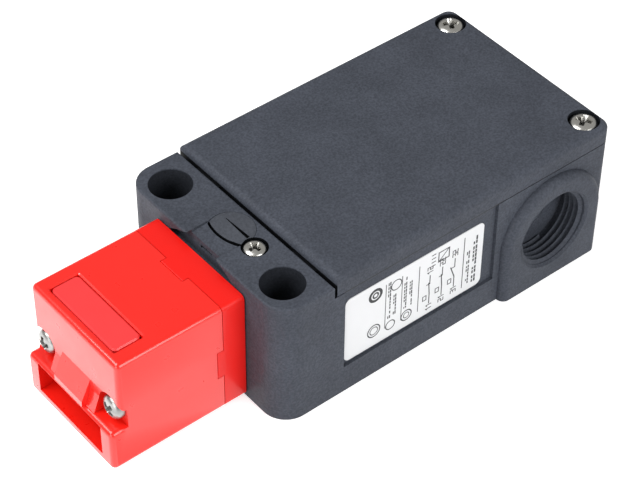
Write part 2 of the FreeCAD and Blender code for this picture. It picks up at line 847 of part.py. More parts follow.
def make_cover():
    body = new_body("cover")
    top = cover_top
    rear = s.body_length
    extrude(body, "Pad", "Plate", "XY_Plane", (s.parting_height, top),
            lambda k: rectangle(k, (cover_front, rear), (-half_width, half_width)))
    fillet(body, "RearCorners", s.rear_corner_radius,
           lambda edge: straight(edge, Z_AXIS) and near(edge, x=rear))
    fillet(body, "TopEdge", s.cover_round, lambda edge: near(edge, z=top))
    chamfer(body, "SkirtEdge", s.cover_skirt_edge,
            lambda edge: near(edge, z=s.parting_height) and not near(edge, x=cover_front))
    inner_half = half_width - s.wall
    extrude(body, "Pocket", "Inside", "XY_Plane", (s.parting_height, cover_underside),
            lambda k: rectangle(k, (cover_front + s.wall, rear - s.wall), (-inner_half, inner_half)))
    seat = top - s.screw_head_height
    for side in BOTH:
        spot = (screw_x, side * s.cover_screw_offset)
        extrude(body, "Pad", "ScrewPost", "XY_Plane", (s.parting_height, cover_underside + 0.5),
                lambda k: circle(k, spot, s.post_radius))
        extrude(body, "Pocket", "HeadRecess", "XY_Plane", (seat, top),
                lambda k: circle(k, spot, s.screw_head_radius + s.screw_head_gap))
        extrude(body, "Pocket", "ScrewHole", "XY_Plane", (s.parting_height, seat),
                lambda k: circle(k, spot, s.screw_radius + s.fit_gap))
        lug = span(s.hinge_inner, s.hinge_outer, side)
        web = (hinge_z - s.hinge_web / 2, hinge_z + s.hinge_web / 2)
        hinge = s.platform_length + s.fit_gap * 2
        extrude(body, "Pad", "HingeWeb", "XZ_Plane", lug,
                lambda k: rectangle(k, (hinge, cover_front + s.wall), web))
        extrude(body, "Pad", "HingeBead", "XZ_Plane", lug,
                lambda k: circle(k, (hinge, hinge_z), s.hinge_radius))
    groove = (s.parting_height, s.parting_height + s.gasket_height)
    outer, inner = gasket_outlines()

    def draw(sketch):
        rectangle(sketch, *outer)
        rectangle(sketch, *inner)

    extrude(body, "Pocket", "GasketGroove", "XY_Plane", groove, draw)


def gasket_outlines(play=0.0):
    inset = s.gasket_inset + play
    width = s.gasket_width - 2 * play
    front = s.front_block - s.gasket_width + play
    rear = s.body_length - inset
    side = half_width - inset
    outer = ((front, rear), (-side, side))
    inner = ((front + width, rear - width), (-side + width, side - width))
    return outer, inner


def make_gasket():
    (outer_x, outer_y), (inner_x, inner_y) = gasket_outlines(play=0.05)
    levels = (s.parting_height, s.parting_height + s.gasket_height)
    node(cut(block(outer_x, outer_y, levels), block(inner_x, inner_y, levels)), "cover_gasket")


def make_cover_screws():
    seat = cover_top - s.screw_head_height
    tip = s.parting_height - s.cover_screw_reach
    screws = []
    for side in BOTH:
        spot = (screw_x, side * s.cover_screw_offset)
        screws.append(pan_screw("Z", seat, tip, spot, s.screw_head_radius, s.screw_head_height,
                                s.screw_radius))
    node(group(*screws), "cover_screws")


def make_label():
    body = new_body("rating_label")
    face = half_width - s.panel_depth
    extrude(body, "Pad", "Plate", "XZ_Plane", (-face - s.label_thickness, -face),
            lambda k: rectangle(k, (label_front, label_rear),
                                (s.label_low, s.label_low + s.label_height)))
    fillet(body, "Corners", s.label_corner, lambda edge: straight(edge, Y_AXIS))


# Head: a cap and a base with interlocking edges, so that the cap can be turned in quarter
# turns before its two screws are tightened.

def tab_windows():
    """Where the base's tabs reach into the cap, as (y, z) ranges."""
    top = ((-s.tab_half, s.tab_half), (s.chamber_high, s.head_top))
    windows = [top, ((-s.tab_half, s.tab_half), (s.head_bottom, s.chamber_low))]
    for side in BOTH:
        across = span(s.head_screw_offset + s.screw_radius + 0.4, head_half, side)
        windows.append((across, (s.side_tab_height - s.tab_half, s.side_tab_height + s.tab_half)))
    return windows


def make_head_cap():
    body = new_body("head_cap")
    nose = -s.head_length
    face = nose + s.head_setback
    rear = -s.parting_x
    outline = [
        (rear, s.head_bottom),
        (nose, s.head_bottom),
        (nose, s.lower_block_top),
        (face, s.lower_block_top),
        (face, s.head_top),
        (rear, s.head_top),
    ]
    across = (-head_half, head_half)
    extrude(body, "Pad", "Block", "XZ_Plane", across, lambda k: polygon(k, outline))

    def outer_edge(edge):
        return not near(edge, x=rear) and not near(edge, x=face, y=0, z=s.lower_block_top)

    fillet(body, "Edges", s.head_round, lambda edge: outer_edge(edge) and is_long_edge(edge, rear))
    pad = [
        (face + 0.5, s.lower_block_top),
        (nose, s.lower_block_top),
        (nose, s.pad_foot),
        (face, s.pad_top),
        (face + 0.5, s.pad_top),
    ]
    extrude(body, "Pad", "CentrePad", "XZ_Plane", (-s.pad_half, s.pad_half),
            lambda k: polygon(k, pad))
    apron = [
        (face + 0.5, s.lower_block_top - 0.5),
        (nose + s.apron_foot, s.lower_block_top - 0.5),
        (nose + s.apron_foot, s.lower_block_top),
        (face, s.apron_top),
        (face + 0.5, s.apron_top),
    ]
    extrude(body, "Pad", "Apron", "XZ_Plane", (-s.apron_half, s.apron_half),
            lambda k: polygon(k, apron))
    for side in BOTH:
        spot = (side * s.head_screw_offset, s.axis_height)
        pocket = (nose - 0.1, -s.head_screw_seat)
        extrude(body, "Pocket", "ScrewPocket", "YZ_Plane", pocket,
                lambda k: circle(k, spot, s.head_pocket_radius))
        inner = s.head_screw_offset - s.head_pocket_radius
        extrude(body, "Pocket", "PocketFloor", "YZ_Plane", pocket,
                lambda k: rectangle(k, span(inner, head_half + 1, side),
                                    (s.lower_block_top, s.axis_height)))
        extrude(body, "Pocket", "ScrewHole", "YZ_Plane", (-s.head_screw_seat, rear),
                lambda k: circle(k, spot, s.screw_radius + s.fit_gap))
    extrude(body, "Pocket", "FrontSlot", "YZ_Plane", (nose, -s.slot_end),
            lambda k: rectangle(k, (-s.slot_half, s.slot_half), (s.slot_low, s.slot_high)))
    top_slot = (-s.top_slot_front, -s.top_slot_rear)
    extrude(body, "Pocket", "TopSlot", "XY_Plane",
            (s.head_top - s.plug_depth - s.plug_leg_reach, s.head_top),
            lambda k: rectangle(k, top_slot, (-s.slot_half, s.slot_half)))
    extrude(body, "Pocket", "TopThroat", "XY_Plane", (s.slot_high - 1, s.head_top - s.plug_depth),
            lambda k: rectangle(k, (-s.chamber_front, -s.top_slot_rear),
                                (-s.top_slot_throat, s.top_slot_throat)))
    extrude(body, "Pocket", "CamRoom", "XZ_Plane", (-s.chamber_half, s.chamber_half),
            lambda k: rectangle(k, (-s.chamber_front, rear), (s.chamber_low, s.chamber_high)))
    axle_room = s.axle_radius + s.fit_gap
    for side in BOTH:
        extrude(body, "Pocket", "AxleSlot", "XZ_Plane",
                span(s.chamber_half - 0.5, s.axle_half + 0.1, side),
                lambda k: rectangle(k, (-s.cam_x - axle_room, rear),
                                    (s.axis_height - axle_room, s.axis_height + axle_room)))
    for across, up in tab_windows():
        room = (across[0] - s.tab_gap, across[1] + s.tab_gap)
        extrude(body, "Pocket", "TabNotch", "YZ_Plane", (rear - s.tab_reach - s.tab_gap, rear),
                lambda k: rectangle(k, room, (up[0] - s.tab_gap, up[1] + s.tab_gap)))


def is_long_edge(edge, rear):
    """The block's own edges, apart from those round its open rear end."""
    ends = [vertex.X for vertex in edge.Vertexes]
    return min(ends) < rear.value - 1


def make_head_base():
    body = new_body("head_base")
    rear = -s.head_gap
    front = s.tab_gap - s.parting_x
    across = (-head_half, head_half)
    extrude(body, "Pad", "Block", "YZ_Plane", (front, rear),
            lambda k: rectangle(k, across, (s.head_bottom, s.head_top)))
    fillet(body, "Edges", s.head_round, lambda edge: straight(edge, X_AXIS))
    for across, up in tab_windows():
        extrude(body, "Pad", "Tab", "YZ_Plane", (-s.parting_x - s.tab_reach, front + 0.5),
                lambda k: rectangle(k, across, up))
    axis = (zero, s.axis_height)
    extrude(body, "Pad", "Spigot", "YZ_Plane", (rear - 0.5, s.seat_depth),
            lambda k: circle(k, axis, s.spigot_radius))
    extrude(body, "Pocket", "YokeRoom", "YZ_Plane", (front, -s.base_hollow),
            lambda k: rectangle(k, (-s.chamber_half, s.chamber_half),
                                (s.base_hollow_low, s.base_hollow_high)))
    axle_room = s.axle_radius - s.fit_gap * 2
    for side in BOTH:
        extrude(body, "Pad", "AxleKeeper", "XZ_Plane",
                span(s.chamber_half + s.fit_gap * 2, s.axle_half, side),
                lambda k: rectangle(k, (-s.cam_x + s.axle_radius + s.fit_gap, front + 1),
                                    (s.axis_height - axle_room, s.axis_height + axle_room)))
        spot = (side * s.head_screw_offset, s.axis_height)
        extrude(body, "Pocket", "ScrewHole", "YZ_Plane", (front, s.seat_depth),
                lambda k: circle(k, spot, s.screw_radius + s.fit_gap))
    extrude(body, "Pocket", "RodBore", "YZ_Plane", (front, s.seat_depth),
            lambda k: circle(k, axis, s.rod_radius + s.running_gap))
    extrude(body, "Pocket", "SealGroove", "YZ_Plane", (s.seat_depth - 0.8, s.seat_depth),
            lambda k: (circle(k, axis, seal_outer), circle(k, axis, seal_inner)))


def make_head_small_parts():
    axis = (zero, s.axis_height)
    seal = ring("X", (s.seat_depth - 0.8, s.seat_depth), axis, seal_outer - s.running_gap,
                seal_inner + s.running_gap)
    node(seal, "head_seal")
    screws = []
    for side in BOTH:
        spot = (side * s.head_screw_offset, s.axis_height)
        screws.append(pan_screw("X", -s.head_screw_seat, s.head_screw_reach, spot,
                                s.head_screw_head_radius, s.head_screw_head_height,
                                s.screw_radius))
    node(group(*screws), "head_screws")


def make_slot_plug():
    body = new_body("slot_plug")
    top = s.head_top
    along_x = (-s.top_slot_front + s.plug_gap, -s.top_slot_rear - s.plug_gap)
    half = s.slot_half - s.plug_gap
    extrude(body, "Pad", "Plate", "XY_Plane", (top - s.plug_depth, top),
            lambda k: rectangle(k, along_x, (-half, half)))
    fillet(body, "Corners", s.plug_round, lambda edge: straight(edge, Z_AXIS))
    chamfer(body, "Border", s.plug_edge, lambda edge: near(edge, z=top))
    for side in BOTH:
        legs = span(s.top_slot_throat + 0.3, s.top_slot_throat + 0.3 + s.plug_leg, side)
        extrude(body, "Pad", "Leg", "XY_Plane",
                (top - s.plug_depth - s.plug_leg_reach + 0.3, top - s.plug_depth + 0.5),
                lambda k: rectangle(k, (along_x[0] + 1, along_x[1] - 1), legs))


# Cam, its axle and crank pin, and the plunger that the pin drives.

def make_cam():
    body = new_body("cam_rotor")
    centre = (-s.cam_x, s.axis_height)
    extrude(body, "Pad", "Disc", "XZ_Plane", (-s.cam_half, s.cam_half),
            lambda k: circle(k, centre, s.cam_radius))
    extrude(body, "Pad", "Hub", "XZ_Plane", (-s.cam_hub_half, s.cam_hub_half),
            lambda k: circle(k, centre, s.cam_hub_radius))
    for degrees in (200, 250):
        notch = cam_notch(centre, math.radians(degrees))
        extrude(body, "Pocket", "Notch", "XZ_Plane", (-s.cam_half, s.cam_half),
                lambda k: polygon(k, notch))
    extrude(body, "Pocket", "AxleBore", "XZ_Plane", (-s.cam_hub_half, s.cam_hub_half),
            lambda k: circle(k, centre, s.axle_radius + s.running_gap))
    extrude(body, "Pocket", "PinBore", "XZ_Plane", (-s.cam_hub_half, s.cam_hub_half),
            lambda k: circle(k, crank_pin_place(), s.pin_radius))
    return body


def cam_notch(centre, angle):
    """A straight-sided notch that opens outwards at the given angle."""
    out_x, out_z = math.cos(angle), math.sin(angle)
    half = s.cam_notch_width / 2
    reach = s.cam_radius + 1
    corners = []
    for distance, sideways in ((s.cam_notch_root, -1), (reach, -1), (reach, 1), (s.cam_notch_root, 1)):
        corners.append((centre[0] + distance * out_x - sideways * half * out_z,
                        centre[1] + distance * out_z + sideways * half * out_x))
    return corners


def crank_pin_place():
    """The pin stands 30 degrees behind the cam's top, so its 60 degrees are centred on it."""
    lean = math.radians(30)
    return (-s.cam_x + s.pin_crank * math.sin(lean), s.axis_height + s.pin_crank * math.cos(lean))


def make_cam_pins():
    centre = (-s.cam_x, s.axis_height)
    node(cylinder("Y", (-s.axle_half, s.axle_half), centre, s.axle_radius), "cam_axle")
    node(cylinder("Y", (-s.pin_half, s.pin_half), crank_pin_place(), s.pin_radius), "crank_pin")


def make_head_plunger():
    pin_x = crank_pin_place()[0]
    slot = s.pin_radius + s.pin_play
    slot_top = s.axis_height + s.pin_crank + s.pin_radius + 0.2
    bridge = (-s.yoke_rear - s.yoke_bridge, -s.yoke_rear)
    rod = cylinder("X", (bridge[1] - 0.2, s.rod_joint), (zero, s.axis_height), s.rod_radius)
    solids = [block(bridge, (-s.yoke_outer, s.yoke_outer), (s.yoke_bridge_low, s.yoke_high)), rod]
    for side in BOTH:
        across = span(s.yoke_inner, s.yoke_outer, side)
        arm = block((pin_x - slot - s.yoke_web, bridge[1]), across, (s.yoke_low, s.yoke_high))
        gap = block((pin_x - slot, pin_x + slot), across, (s.yoke_low - 0.5, slot_top))
        solids.append(cut(arm, gap))
    node(fuse(*solids), "head_plunger")


def make_push_rod():
    axis = (zero, s.axis_height)
    stem = cylinder("X", (s.collar_x, s.carriage_front), axis, s.stem_radius)
    node(fuse(cylinder("X", (s.rod_joint, s.collar_x), axis, s.rod_radius), stem), "push_rod")
    collar_end = s.collar_x + s.collar_thickness
    node(ring("X", (s.collar_x, collar_end), axis, s.collar_radius, s.stem_radius), "lock_collar")
    bush = ring("X", (s.seat_depth, s.front_block), axis, s.bush_radius,
                s.rod_radius + s.running_gap)
    node(bush, "rod_bush")


# Contact block: three bridges on one carriage, and six fixed contacts under screw terminals.

def bridge_places():
    return [s.bridge_first + s.bridge_pitch * index for index in range(3)]


def make_contact_block():
    body = new_body("contact_block")
    front = s.block_front
    rear = block_rear()
    floor = s.floor_thickness
    deck = floor + s.block_base
    extrude(body, "Pad", "Base", "XY_Plane", (floor, deck),
            lambda k: rectangle(k, (front, rear), (-s.block_half, s.block_half)))
    for side in BOTH:
        extrude(body, "Pad", "Rail", "XY_Plane", (floor, s.block_height),
                lambda k: rectangle(k, (front, rear), span(s.block_rail, s.block_half, side)))
        ear = span(s.terminal_offset - 3, s.terminal_offset + 3, side)
        extrude(body, "Pad", "Ear", "XY_Plane", (floor, floor + s.ear_height),
                lambda k: rectangle(k, (rear - 0.5, rear + s.ear_length), ear))
        spot = (rear + s.ear_length / 2, side * s.terminal_offset)
        extrude(body, "Pocket", "EarHole", "XY_Plane", (floor, floor + s.ear_height),
                lambda k: circle(k, spot, s.terminal_screw_radius + s.fit_gap))
    for low in (front, rear - s.block_wall):
        extrude(body, "Pad", "EndWall", "XY_Plane", (floor, s.block_height),
                lambda k: rectangle(k, (low, low + s.block_wall),
                                (-s.block_rail - 0.5, s.block_rail + 0.5)))
    gap = s.carriage_gap
    room = s.carriage_half + gap
    extrude(body, "Pocket", "CarriageWay", "YZ_Plane", (front, front + s.block_wall),
            lambda k: rectangle(k, (-room, room), (s.carriage_low - gap, s.block_height)))
    extrude(body, "Pocket", "StemBore", "YZ_Plane", (rear - s.block_wall, rear),
            lambda k: circle(k, (zero, s.axis_height), s.rear_stem_radius + s.running_gap))
    for x in bridge_places():
        middle = terminal_x(x)
        for side in BOTH:
            extrude(body, "Pocket", "TerminalHole", "XY_Plane",
                    (s.block_height - s.terminal_screw_reach, s.block_height),
                    lambda k: circle(k, (middle, side * s.terminal_offset),
                                     s.terminal_screw_radius + s.fit_gap))
    for side in BOTH:
        for low in (1, 2):
            x = terminal_x(bridge_places()[low]) - s.bridge_pitch / 2
            extrude(body, "Pad", "Barrier", "XY_Plane",
                    (s.block_height - 0.5, s.block_height + 3),
                    lambda k: rectangle(k, (x - 0.4, x + 0.4),
                                        span(s.block_rail + 0.4, s.block_half, side)))


def strip_x(bridge):
    """A fixed contact's blade, ahead of its bridge by the carriage's travel."""
    high = bridge - s.cam_travel - s.strip_gap
    return high - s.strip_thickness, high


def terminal_x(bridge):
    return bridge - s.cam_travel + 1.2


def make_carriage():
    body = new_body("contact_carriage")
    axis = (zero, s.axis_height)
    across = (-s.carriage_half, s.carriage_half)
    extrude(body, "Pad", "Block", "XY_Plane", (s.carriage_low, s.carriage_high),
            lambda k: rectangle(k, (s.carriage_front, s.carriage_rear), across))
    extrude(body, "Pad", "RearStem", "YZ_Plane", (s.carriage_rear - 0.5, s.rear_stem_end),
            lambda k: circle(k, axis, s.rear_stem_radius))
    for x in bridge_places():
        extrude(body, "Pocket", "Window", "YZ_Plane", (x, x + s.bridge_window),
                lambda k: rectangle(k, across, (s.bridge_low, s.bridge_high)))


def make_contacts():
    bridges = []
    springs = []
    strips = []
    screws = []
    clamps = []
    middle_z = (s.bridge_low + s.bridge_high) / 2
    deck = s.block_height + s.strip_thickness
    for x in bridge_places():
        levels = (s.bridge_low, s.bridge_high)
        bar = block((x, x + s.bridge_thickness), (-s.bridge_half, s.bridge_half), levels)
        studs = []
        for side in BOTH:
            spot = (side * (s.bridge_half - 1.2), middle_z)
            studs.append(cylinder("X", (x - 0.25, x + 0.2), spot, 1.0))
        bridges.append(fuse(bar, *studs))
        springs.append(cylinder("X", (x + s.bridge_thickness, x + s.bridge_window),
                                (zero, middle_z), s.bridge_thickness * 1.2))
        low, high = strip_x(x)
        for side in BOTH:
            blade = block((low, high), span(s.strip_inner, s.block_rail, side),
                          (s.bridge_low - 0.4, deck))
            tail_x = (low, terminal_x(x) + s.clamp_half)
            tail = block(tail_x, span(s.strip_inner, s.terminal_offset + s.clamp_half - 0.4, side),
                         (s.block_height, deck))
            spot = (terminal_x(x), side * s.terminal_offset)
            hole = cylinder("Z", (s.block_height, deck), spot, s.terminal_screw_radius + s.fit_gap)
            strips.append(cut(fuse(blade, tail), hole))
            clamp_top = deck + s.clamp_thickness
            clamp = block((spot[0] - s.clamp_half, spot[0] + s.clamp_half),
                          span(s.terminal_offset - s.clamp_half, s.terminal_offset + 2, side),
                          (deck, clamp_top))
            bore = cylinder("Z", (deck, clamp_top), spot, s.terminal_screw_radius + s.fit_gap)
            clamps.append(cut(clamp, bore))
            screws.append(pan_screw("Z", clamp_top, s.block_height - s.terminal_screw_reach + 0.3,
                                    spot, s.terminal_head_radius, s.terminal_head_height,
                                    s.terminal_screw_radius))
    node(group(*bridges), "moving_contacts")
    node(group(*springs), "contact_springs")
    node(group(*strips), "fixed_contacts")
    node(group(*clamps), "wire_clamps")
    node(group(*screws), "terminal_screws")


def make_plunger_spring():
    axis = (zero, s.axis_height)
    clip_high = s.rear_stem_end - s.clip_setback
    clip_low = clip_high - s.clip_thickness
    node(ring("X", (clip_low, clip_high), axis, s.clip_radius, s.rear_stem_radius), "spring_clip")
    radius = s.rear_stem_radius + s.spring_wire + 0.35
    node(coil("X", (block_rear(), clip_low), axis, radius, s.spring_wire, s.spring_turns,
              "PlungerSpring"), "plunger_spring")


def make_block_screws():
    deck = s.floor_thickness + s.ear_height
    screws = []
    for side in BOTH:
        spot = (block_rear() + s.ear_length / 2, side * s.terminal_offset)
        screws.append(pan_screw("Z", deck, s.floor_thickness / 2, spot, s.terminal_head_radius,
                                s.terminal_head_height, s.terminal_screw_radius))
    node(group(*screws), "block_screws")
    spot = (s.earth_x, s.earth_y)
    washer = s.clamp_thickness
    half = s.earth_clamp_half
    clamp = cut(block((s.earth_x - half, s.earth_x + half), (s.earth_y - half, s.earth_y + half),
                      (deck, deck + washer)),
                cylinder("Z", (deck, deck + washer), spot, s.terminal_screw_radius + s.fit_gap))
    node(clamp, "earth_clamp")
    node(pan_screw("Z", deck + washer, s.floor_thickness, spot, s.terminal_head_radius,
                   s.terminal_head_height, s.terminal_screw_radius), "earth_screw")


# Locking solenoid: it lies across the housing and pushes the bolt beside the rod's collar.

def make_solenoid():
    middle = solenoid_x()
    axis = (middle, s.axis_height)
    outer_x = (middle - s.solenoid_half, middle + s.solenoid_half)
    far, close = -s.solenoid_far, -s.solenoid_near
    plate = s.frame_plate
    shell = block(outer_x, (far, close), (s.solenoid_low, s.solenoid_high))
    hollow = block(outer_x, (far + plate, close - plate),
                   (s.solenoid_low + plate, s.solenoid_high - plate))
    bore = cylinder("Y", (close - plate, close), axis, s.armature_stem + s.running_gap)
    holes = [hollow, bore]
    for x in solenoid_screw_places():
        holes.append(cylinder("Z", (s.solenoid_low, s.solenoid_low + plate),
                              (x, (far + close) / 2), s.release_screw_radius + s.fit_gap))
    node(cut(shell, *holes), "solenoid_frame")

    low, high = far + plate, close - plate
    flange = s.bobbin_flange_thickness
    tube = s.bobbin_bore + s.bobbin_tube
    spool = fuse(cylinder("Y", (low, high), axis, tube),
                 cylinder("Y", (low, low + flange), axis, s.bobbin_flange),
                 cylinder("Y", (high - flange, high), axis, s.bobbin_flange))
    node(cut(spool, cylinder("Y", (low, high), axis, s.bobbin_bore)), "coil_bobbin")
    node(ring("Y", (low + flange, high - flange), axis, s.bobbin_flange - s.winding_inset, tube),
         "coil_winding")

    screws = []
    deck = s.solenoid_low + plate
    for x in solenoid_screw_places():
        screws.append(pan_screw("Z", deck, s.floor_thickness + 0.5, (x, (far + close) / 2),
                                s.release_head_radius - 0.2, 1.0, s.release_screw_radius))
    node(group(*screws), "solenoid_screws")


def make_coil_terminals():
    middle = solenoid_x()
    centre_y = -(s.solenoid_near + s.solenoid_far) / 2
    low = s.solenoid_high
    high = low + s.coil_block_height - 0.6
    half = s.coil_block_half
    body = new_body("coil_terminal_block")
    extrude(body, "Pad", "Block", "XY_Plane", (low, high),
            lambda k: rectangle(k, (middle - half * 1.8, middle + half * 1.8),
                                (centre_y - half, centre_y + half)))
    screws = []
    for side in BOTH:
        spot = (middle + side * half, centre_y)
        extrude(body, "Pocket", "Well", "XY_Plane", (high - s.terminal_head_height, high),
                lambda k: circle(k, spot, s.terminal_head_radius + 0.3))
        extrude(body, "Pocket", "Hole", "XY_Plane", (low + 0.4, high - s.terminal_head_height),
                lambda k: circle(k, spot, s.terminal_screw_radius + s.fit_gap))
        screws.append(pan_screw("Z", high - s.terminal_head_height, low + 0.6, spot,
                                s.terminal_head_radius, s.terminal_head_height - 0.2,
                                s.terminal_screw_radius))
    node(group(*screws), "coil_terminal_screws")


def make_lock():
    middle = solenoid_x()
    axis = (middle, s.axis_height)
    core = cylinder("Y", (-s.armature_rear, -s.armature_shoulder), axis, s.armature_radius)
    blade_rear = -s.bolt_tip - s.bolt_depth
    stem = cylinder("Y", (-s.armature_shoulder, blade_rear), axis, s.armature_stem)
    node(fuse(core, stem), "armature")
    thick = (middle - s.bolt_thickness / 2, middle + s.bolt_thickness / 2)
    depth = (blade_rear, -s.bolt_tip)
    node(block(thick, depth, (s.axis_height - s.bolt_half, link_low)), "lock_bolt")
    make_release_link(thick, depth)
    spring_radius = s.armature_stem + s.spring_wire + 0.25
    node(coil("Y", (-s.armature_shoulder, -s.solenoid_near - s.frame_plate), axis, spring_radius,
              s.spring_wire, s.spring_turns - 2, "ArmatureSpring"), "armature_spring")


def make_release_link(thick, depth):
    """A flat strip from the bolt to the spindle's crank, slotted along X."""
    levels = (link_low, link_low + s.link_thickness)
    plate = block((s.release_x - 1.1, thick[1]), (depth[0], s.link_reach), levels)
    lean = math.sqrt(0.5)
    rest_x = s.release_x + s.crank_throw * lean
    rest_y = -s.crank_throw * lean
    play = s.crank_radius + s.crank_play
    slot = block((rest_x - play, s.release_x + s.crank_throw + play), (rest_y - play, rest_y + play),
                 levels)
    window = block((s.front_block, thick[0] - 1.5), (depth[1] + 2.2, s.link_reach + 0.5), levels)
    node(cut(plate, slot, window), "release_link")


# Auxiliary release: a spindle under a screwed-down cap.

def make_spindle():
    cap_floor = platform_top - s.cap_thickness
    head_high = cap_floor - s.bolt_gap
    head_low = head_high - s.spindle_head_height
    shaft_low = head_low - s.spindle_length + 0.1
    spot = (s.release_x, zero)
    lean = math.sqrt(0.5)
    crank = (s.release_x + s.crank_throw * lean, -s.crank_throw * lean)
    head = cylinder("Z", (head_low, head_high), spot, s.spindle_head_radius)
    shaft = cylinder("Z", (shaft_low, head_low), spot, s.spindle_radius)
    tip = cylinder("Z", (shaft_low - s.crank_length, shaft_low), crank, s.crank_radius)
    slot = block((s.release_x - 3.2, s.release_x + 3.2),
                 (-s.spindle_slot / 2, s.spindle_slot / 2), (head_high - 1.3, head_high))
    node(cut(fuse(head, shaft, tip), slot), "release_spindle")


def make_release_cap():
    body = new_body("release_cap")
    top = platform_top
    low = top - s.cap_thickness
    extrude(body, "Pad", "Disc", "XY_Plane", (low, top),
            lambda k: lens(k, (s.release_x, zero), s.cap_radius,
                           (s.cap_front_x, s.cap_front_y), s.cap_front_radius))
    ramp_slope = s.ramp_drop / s.ramp_x
    foot = top - s.ramp_drop
    ramp = [(s.ramp_x, top), (zero, foot), (zero, top + 1), (s.ramp_x, top + 1)]
    extrude(body, "Pocket", "Ramp", "XZ_Plane", (-s.ramp_half - 1, s.ramp_half + 1),
            lambda k: polygon(k, ramp))
    slit = [
        (s.ramp_x - 0.1, s.cap_radius * 0.62),
        (s.ramp_x - 0.4, -s.cap_radius * 0.8),
        (s.ramp_x + 0.5, -s.cap_radius * 0.8),
        (s.ramp_x + 0.1, s.cap_radius * 0.62),
    ]
    extrude(body, "Pocket", "Slit", "XY_Plane", (top - s.slit_depth, top),
            lambda k: polygon(k, slit))
    extrude(body, "Pocket", "ScrewRecess", "XY_Plane", (top - s.release_recess_depth, top),
            lambda k: circle(k, (s.release_screw_x, -s.release_screw_y), s.release_recess_radius))
    seat = top - s.release_recess_depth
    spot = (s.release_screw_x, -s.release_screw_y)
    node(pan_screw("Z", seat, seat - s.release_screw_length, spot, s.release_head_radius,
                   s.release_head_height, s.release_screw_radius), "release_screw")


def build():
    make_housing()
    make_cover()
    make_gasket()
    make_cover_screws()
    make_label()
    make_head_cap()
    make_head_base()
    make_head_small_parts()
    make_slot_plug()
    make_cam()
    make_cam_pins()
    make_head_plunger()
    make_push_rod()
    make_contact_block()
    make_carriage()
    make_contacts()
    make_plunger_spring()
    make_block_screws()
    make_solenoid()
    make_coil_terminals()
    make_lock()
    make_spindle()
    make_release_cap()
    doc.recompute()


def check():
    for item in doc.Objects:
        if "Invalid" in item.State or "Error" in item.State:
            raise ValueError(f"{item.Name} ({item.Label}) failed: {item.State}")
    for item in nodes:
        if item.Shape.isNull() or not item.Shape.isValid():
            raise ValueError(f"{item.Label} has no valid shape")


def write():
    os.makedirs("parts", exist_ok=True)
    for item in nodes:
        item.Shape.exportStep(f"parts/{item.Label}.step")
        solids = len(item.Shape.Solids)
        print(f"{item.Label:24s} {solids} solids {item.Shape.Volume:10.2f} mm3")


build()
check()
write()
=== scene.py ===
# %% [markdown]
# # A tongue interlock switch
# This lesson dresses a finished CAD assembly. The real object guards a machine door: a metal
# tongue goes into the red head, turns a cam, and a rod in the dark housing works the contacts.
# The CAD model already has every piece in its place, so we load it first and never move it.

# %% Load the assembly
import json
import math

import bmesh
import bpy
from mathutils import Matrix, Vector


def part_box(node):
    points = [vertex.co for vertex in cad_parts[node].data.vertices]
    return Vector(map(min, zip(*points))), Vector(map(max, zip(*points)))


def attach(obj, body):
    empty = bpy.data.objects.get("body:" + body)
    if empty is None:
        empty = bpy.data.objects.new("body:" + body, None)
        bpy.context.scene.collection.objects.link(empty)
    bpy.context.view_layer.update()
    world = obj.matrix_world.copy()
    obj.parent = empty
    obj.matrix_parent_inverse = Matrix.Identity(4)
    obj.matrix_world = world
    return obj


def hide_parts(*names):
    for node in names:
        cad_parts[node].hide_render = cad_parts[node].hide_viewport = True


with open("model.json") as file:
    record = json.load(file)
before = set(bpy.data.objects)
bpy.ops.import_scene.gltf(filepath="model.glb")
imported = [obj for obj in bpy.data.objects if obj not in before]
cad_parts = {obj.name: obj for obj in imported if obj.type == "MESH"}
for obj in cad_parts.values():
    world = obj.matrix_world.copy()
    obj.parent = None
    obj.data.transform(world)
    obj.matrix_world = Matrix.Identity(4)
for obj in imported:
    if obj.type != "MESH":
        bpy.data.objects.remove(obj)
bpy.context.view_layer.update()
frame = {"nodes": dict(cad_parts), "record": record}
MM = 0.001

# %% [markdown]
# ## The camera
# A long lens from about half a metre looks down on the front of the head, so that the top,
# the side with the label and the slotted front all show. The view direction and the small
# roll are written as plain vectors, which is easier to read than three Euler angles.

# %% Place the camera
EYE = Vector((-221.85, -270.60, 352.55)) * MM
AIM = Vector((0.62, -3.034, 20.0)) * MM
ROLL = math.radians(0.765)
SENSOR_WIDTH = 36.0
FOCAL_LENGTH = 119.79


def place_camera():
    camera = bpy.data.objects.new("camera", bpy.data.cameras.new("camera"))
    bpy.context.collection.objects.link(camera)
    turn = (AIM - EYE).to_track_quat("-Z", "Y").to_matrix().to_4x4()
    camera.matrix_world = Matrix.Translation(EYE) @ turn @ Matrix.Rotation(ROLL, 4, "Z")
    camera.data.sensor_width = SENSOR_WIDTH
    camera.data.lens = FOCAL_LENGTH
    camera.data.clip_start = 0.01
    bpy.context.scene.camera = camera


place_camera()

# %% [markdown]
# ## Floor, sky and lamps
# A product picture is lit by large soft lamps over a white table. The table is white to the
# camera and to mirrors, but it still takes the object's shadow.

# %% Light the table
bpy.context.scene.view_settings.view_transform = "Standard"
SKY_STRENGTH = 0.33
TABLE_SHINE = (1.35, 1.9)


